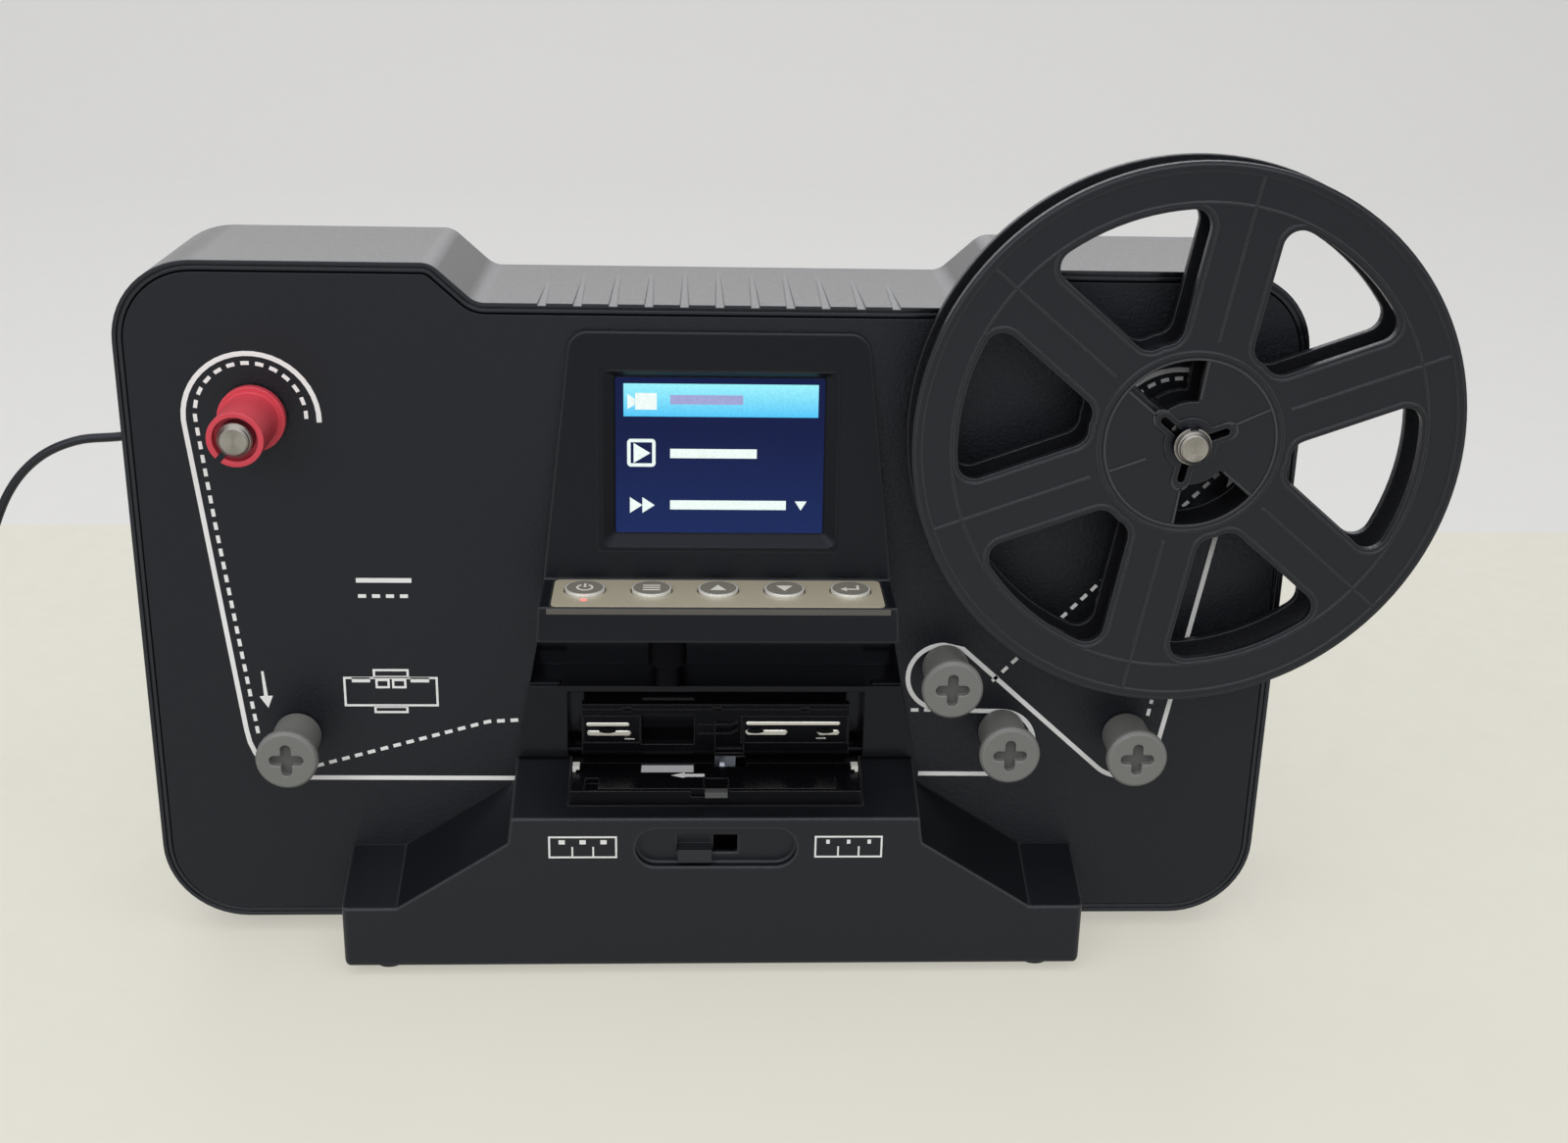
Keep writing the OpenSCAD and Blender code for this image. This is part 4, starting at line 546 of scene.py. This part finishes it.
# Guide rollers
# Four turned grey plastic rollers, each loose on a steel pin, with a collar and a cap that has a plus
# shaped hollow. They carry the film from the reel to the gate and back.
roller_grey = moulded("roller_grey", (0.185, 0.187, 0.175), 0.46, grain=0.35, relief=0.08, mottle=0.07,
                      bevel=0.6, edge_highlight=0.6)
# The floor of each cap's plus shaped hollow is painted a darker grey: painted shade in the hollow.
cross_shade_grey = moulded("cross_shade_grey", (0.1, 0.101, 0.095), 0.55, grain=0.35, relief=0.08, bevel=0.1, edge_highlight=0)
arm_at, arm_r, hollow_y = 2.8, 1.24, -13.7
plus = [(u * c - v * d, u * d + v * c) for c, d in ((1, 0), (0, 1), (-1, 0), (0, -1))
        for u, v in arc(arm_at, 0, arm_r, -90, 90, 8) + [(arm_r, arm_r)]]
for n, x, z in (("left", -102, 52.8), ("upper", 56, 71.2), ("lower", 70.8, 54), ("right", 101.9, 53)):
    paint(roller_grey, "roller_" + n)
    flat_piece("roller_cross_shade_" + n, "roller_" + n, cross_shade_grey, [plus],
               place=Matrix.Translation(Vector((x, hollow_y, z)) * MM) @ ON_PANEL, slot="roller_grey")


# Spindles and reel adapter
# Two turned steel spindles in bronze bearings, their steel near black beyond the shaft's radius. The
# left one carries a red moulded adapter for reels with a wide hole.
spindle_steel = moulded("spindle_steel", (0.34, 0.325, 0.3), 0.32, grain=0.2, relief=0.05, metal=1,
                        bevel=0.25, turned=0.85)
spindle_x, spindle_z, shaft_r, tool_pitch = 107, 133, 4.3, 0.45
tree = spindle_steel.node_tree
shader = tree.nodes["Principled BSDF"]


def figure(operation, a, b=0.0):
    """One step of a sum on the spindle's own radius."""
    step = tree.nodes.new("ShaderNodeMath")
    step.operation = operation
    for socket, value in zip(step.inputs, (a, b)):
        if isinstance(value, float):
            socket.default_value = value
        else:
            link(tree, value, socket)
    return step.outputs["Value"]


place = tree.nodes.new("ShaderNodeSeparateXYZ")
link(tree, tree.nodes.new("ShaderNodeTexCoord").outputs["Object"], place.inputs["Vector"])
beside = figure("SUBTRACT", figure("ABSOLUTE", place.outputs["X"]), spindle_x * MM)
over = figure("SUBTRACT", place.outputs["Z"], spindle_z * MM)
squares = figure("ADD", figure("MULTIPLY", beside, beside), figure("MULTIPLY", over, over))
radius = figure("SQRT", squares)
tool_rings = figure("SINE", figure("MULTIPLY", radius, 2 * math.pi / (tool_pitch * MM)))
cut = tree.nodes.new("ShaderNodeBump")
cut.inputs["Strength"].default_value = 0.35
cut.inputs["Distance"].default_value = 0.05 * MM
link(tree, tool_rings, cut.inputs["Height"])
link(tree, shader.inputs["Normal"].links[0].from_socket, cut.inputs["Normal"])
link(tree, cut.outputs["Normal"], shader.inputs["Normal"])
# The steel's colour turns near black beyond the shaft's radius.
dark_beyond_shaft = tree.nodes.new("ShaderNodeMix")
dark_beyond_shaft.data_type = "RGBA"
dark_beyond_shaft.inputs["B"].default_value = (0.012, 0.012, 0.013, 1)
link(tree, figure("GREATER_THAN", radius, shaft_r * MM), dark_beyond_shaft.inputs["Factor"])
link(tree, shader.inputs["Base Color"].links[0].from_socket, dark_beyond_shaft.inputs["A"])
link(tree, dark_beyond_shaft.outputs["Result"], shader.inputs["Base Color"])
paint(spindle_steel, "left_spindle", "right_spindle")
adapter_red = moulded("adapter_red", (0.68, 0.06, 0.085), 0.36, grain=0.4, relief=0.06, mottle=0.08,
                      bevel=0.5, edge_highlight=0.5)
paint(adapter_red, "reel_adapter")
paint(moulded("bearing_bronze", (0.4, 0.24, 0.1), 0.4, grain=0.3, metal=1), "spindle_bearings")


# Take-up reel
# Two spoked flanges and a core, moulded in black styrene with a slightly rippled sheen and snapped
# together. Fine raised lines run on the hub and round its driving slots, where the mould's inserts met.
reel_black = moulded("reel_black", (0.006, 0.0062, 0.007), 0.36, grain=0.6, relief=0.12, bevel=0.45, edge_highlight=1.0,
                     shine=0.46, spread=0.09)
paint(reel_black, "reel_front_flange", "reel_rear_flange", "reel_core")
reel_face = -16.2
ON_REEL = Matrix.Translation(Vector((spindle_x, reel_face, spindle_z)) * MM) @ ON_PANEL


def radial(angle, r0, r1):
    a = math.radians(angle)
    return [(r0 * math.cos(a), r0 * math.sin(a)), (r1 * math.cos(a), r1 * math.sin(a))]


def slot_rim(angle, r0, r1, half):
    """The raised lip round one driving slot, open towards the bore."""
    a = math.radians(angle)
    path = [(r0, -half)] + arc(r1 - half, 0, half, -90, 90, 10) + [(r0, half)]
    return [(u * math.cos(a) - v * math.sin(a), u * math.sin(a) + v * math.cos(a)) for u, v in path]


hub_angles, slot_angles = (25, 82.5, 141.5, 200, 262.5, 321.5), (20, 140, 260)
hub_ring_r, bore_ring_r, slot_half = 19.7, 5.9, 1.9
# The raised lines are painted paler than the reel: a painted highlight along them.
reel_line_highlight = moulded("reel_line_highlight", (0.04, 0.04, 0.042), 0.3, grain=0.5, relief=0.05, bevel=0.2, edge_highlight=0.8)
flat_piece("reel_lines", "right_drive", reel_line_highlight,
           lines=[(radial(a, 10.6, 19.3), 0.4, False) for a in hub_angles]
           + [(arc(0, 0, hub_ring_r, 0, 355, 71), 0.45, True)]
           + [(slot_rim(a, 5.6, 11, slot_half), 0.5, False) for a in slot_angles]
           + [(arc(0, 0, bore_ring_r, a + 22, a + 98, 12), 0.5, False) for a in slot_angles],
           place=ON_REEL, high=0.3, slot="reel_black")


# Sockets on the back
# Bought-in sockets on the main board: steel shells and black insulators, flush with holes in the housing.
paint(moulded("socket_black", (0.015, 0.015, 0.016), 0.45, grain=0.3, bevel=0.15), "power_jack", "av_socket")
paint(strip_steel, "usb_socket", "card_slot")


# Works inside the housing
# Boards of green glass fibre, drawn motor cans on bent steel brackets, and moulded nylon gears. They are
# closed in and show only through openings.
board_green = moulded("board_green", (0.015, 0.11, 0.045), 0.4, grain=0.6, mottle=0.2, bevel=0.1)
paint(board_green, "key_board", "camera_board", "light_board", "main_board")
motor_can = moulded("motor_can", (0.35, 0.35, 0.34), 0.35, grain=0.3, metal=1)
paint(motor_can, "advance_motor", "left_motor", "right_motor", "motor_brackets")
gear_nylon = moulded("gear_nylon", (0.72, 0.7, 0.64), 0.5, grain=0.4)
paint(gear_nylon, "left_gear", "left_pinion", "right_gear", "right_pinion")


# Stage: a pale table and a paler paper sweep behind it
# Both are smooth and a little uneven. A broad soft light hangs overhead, one stands in front, one at each
# side, and one behind gives the sheen on the housing's top and lights its back.
def plain(name, colour, rough, scale, glow):
    """Smooth paint, part of its paleness its own so that the shadow on it stays soft."""
    made = moulded(name, colour, rough, grain=scale, relief=0.03, mottle=0.025, edge_highlight=0, bevel=0.01, shine=0.2)
    tree = made.node_tree
    shader = tree.nodes["Principled BSDF"]
    rays = tree.nodes.new("ShaderNodeLightPath")
    seen = rays.outputs["Is Camera Ray"]
    for kind in ("Is Glossy Ray", "Is Transmission Ray"):
        either = tree.nodes.new("ShaderNodeMath")
        either.operation = "MAXIMUM"
        link(tree, seen, either.inputs[0])
        link(tree, rays.outputs[kind], either.inputs[1])
        seen = either.outputs["Value"]
    shader.inputs["Emission Color"].default_value = (*glow, 1)
    link(tree, seen, shader.inputs["Emission Strength"])
    return made


def wide_sheet(name, profile, material):
    """A sheet as wide as the stage, along a profile in Y and Z."""
    mesh = bpy.data.meshes.new(name)
    mesh.from_pydata([(x, y, z) for y, z in profile for x in (-half_stage, half_stage)], [],
                     [(2 * i, 2 * i + 1, 2 * i + 3, 2 * i + 2) for i in range(len(profile) - 1)])
    mesh.shade_smooth()
    mesh.materials.append(material)
    made = bpy.data.objects.new(name, mesh)
    bpy.context.scene.collection.objects.link(made)


half_stage, table_z, table_front, table_back = 6, -3 * MM, -7, 0.319
sweep_start, sweep_r, sweep_top = 1.2, 0.5, 2
table_paint = plain("table_paint", (0.33, 0.325, 0.29), 0.5, 6, (0.44, 0.428, 0.376))
wide_sheet("table_top", [(table_front, table_z), (table_back, table_z)], table_paint)
sweep_paper = plain("sweep_paper", (0.36, 0.358, 0.355), 0.8, 6, (0.45, 0.446, 0.44))
sweep_bend = arc(sweep_start, table_z + sweep_r, sweep_r, -90, 0)
wide_sheet("paper_sweep", [(table_back, table_z)] + sweep_bend + [(sweep_start + sweep_r, sweep_top)], sweep_paper)
world = bpy.data.worlds.new("daylight")
world.use_nodes = True
world.node_tree.nodes["Background"].inputs["Color"].default_value = (0.95, 0.97, 1, 1)
world.node_tree.nodes["Background"].inputs["Strength"].default_value = 0.12
bpy.context.scene.world = world
for name, at, target, size, power in (
        ("overhead_light", (-0.1, -0.25, 1.2), (-0.1, -0.15, 0), (1.6, 1.6), 11),
        ("left_light", (-1.2, -0.9, 0.8), (0, 0, 0.05), (1.2, 1.2), 5),
        ("right_light", (1.2, -0.9, 0.8), (0, 0, 0.05), (1.2, 1.2), 4),
        ("front_light", (-0.2, -1.5, 0.9), (0, 0, 0), (2, 0.8), 13),
        ("back_light", (0, 1.5, 0.75), (0, 0, 0.1), (2.4, 0.54), 4.4)):
    light = bpy.data.lights.new(name, "AREA")
    light.shape = "RECTANGLE"
    light.size, light.size_y = size
    light.energy = power
    lamp = bpy.data.objects.new(name, light)
    lamp.location = at
    lamp.visible_camera = False
    lamp.rotation_euler = (Vector(target) - Vector(at)).to_track_quat("-Z", "Y").to_euler()
    bpy.context.scene.collection.objects.link(lamp)
bpy.context.scene.view_settings.view_transform = "Standard"
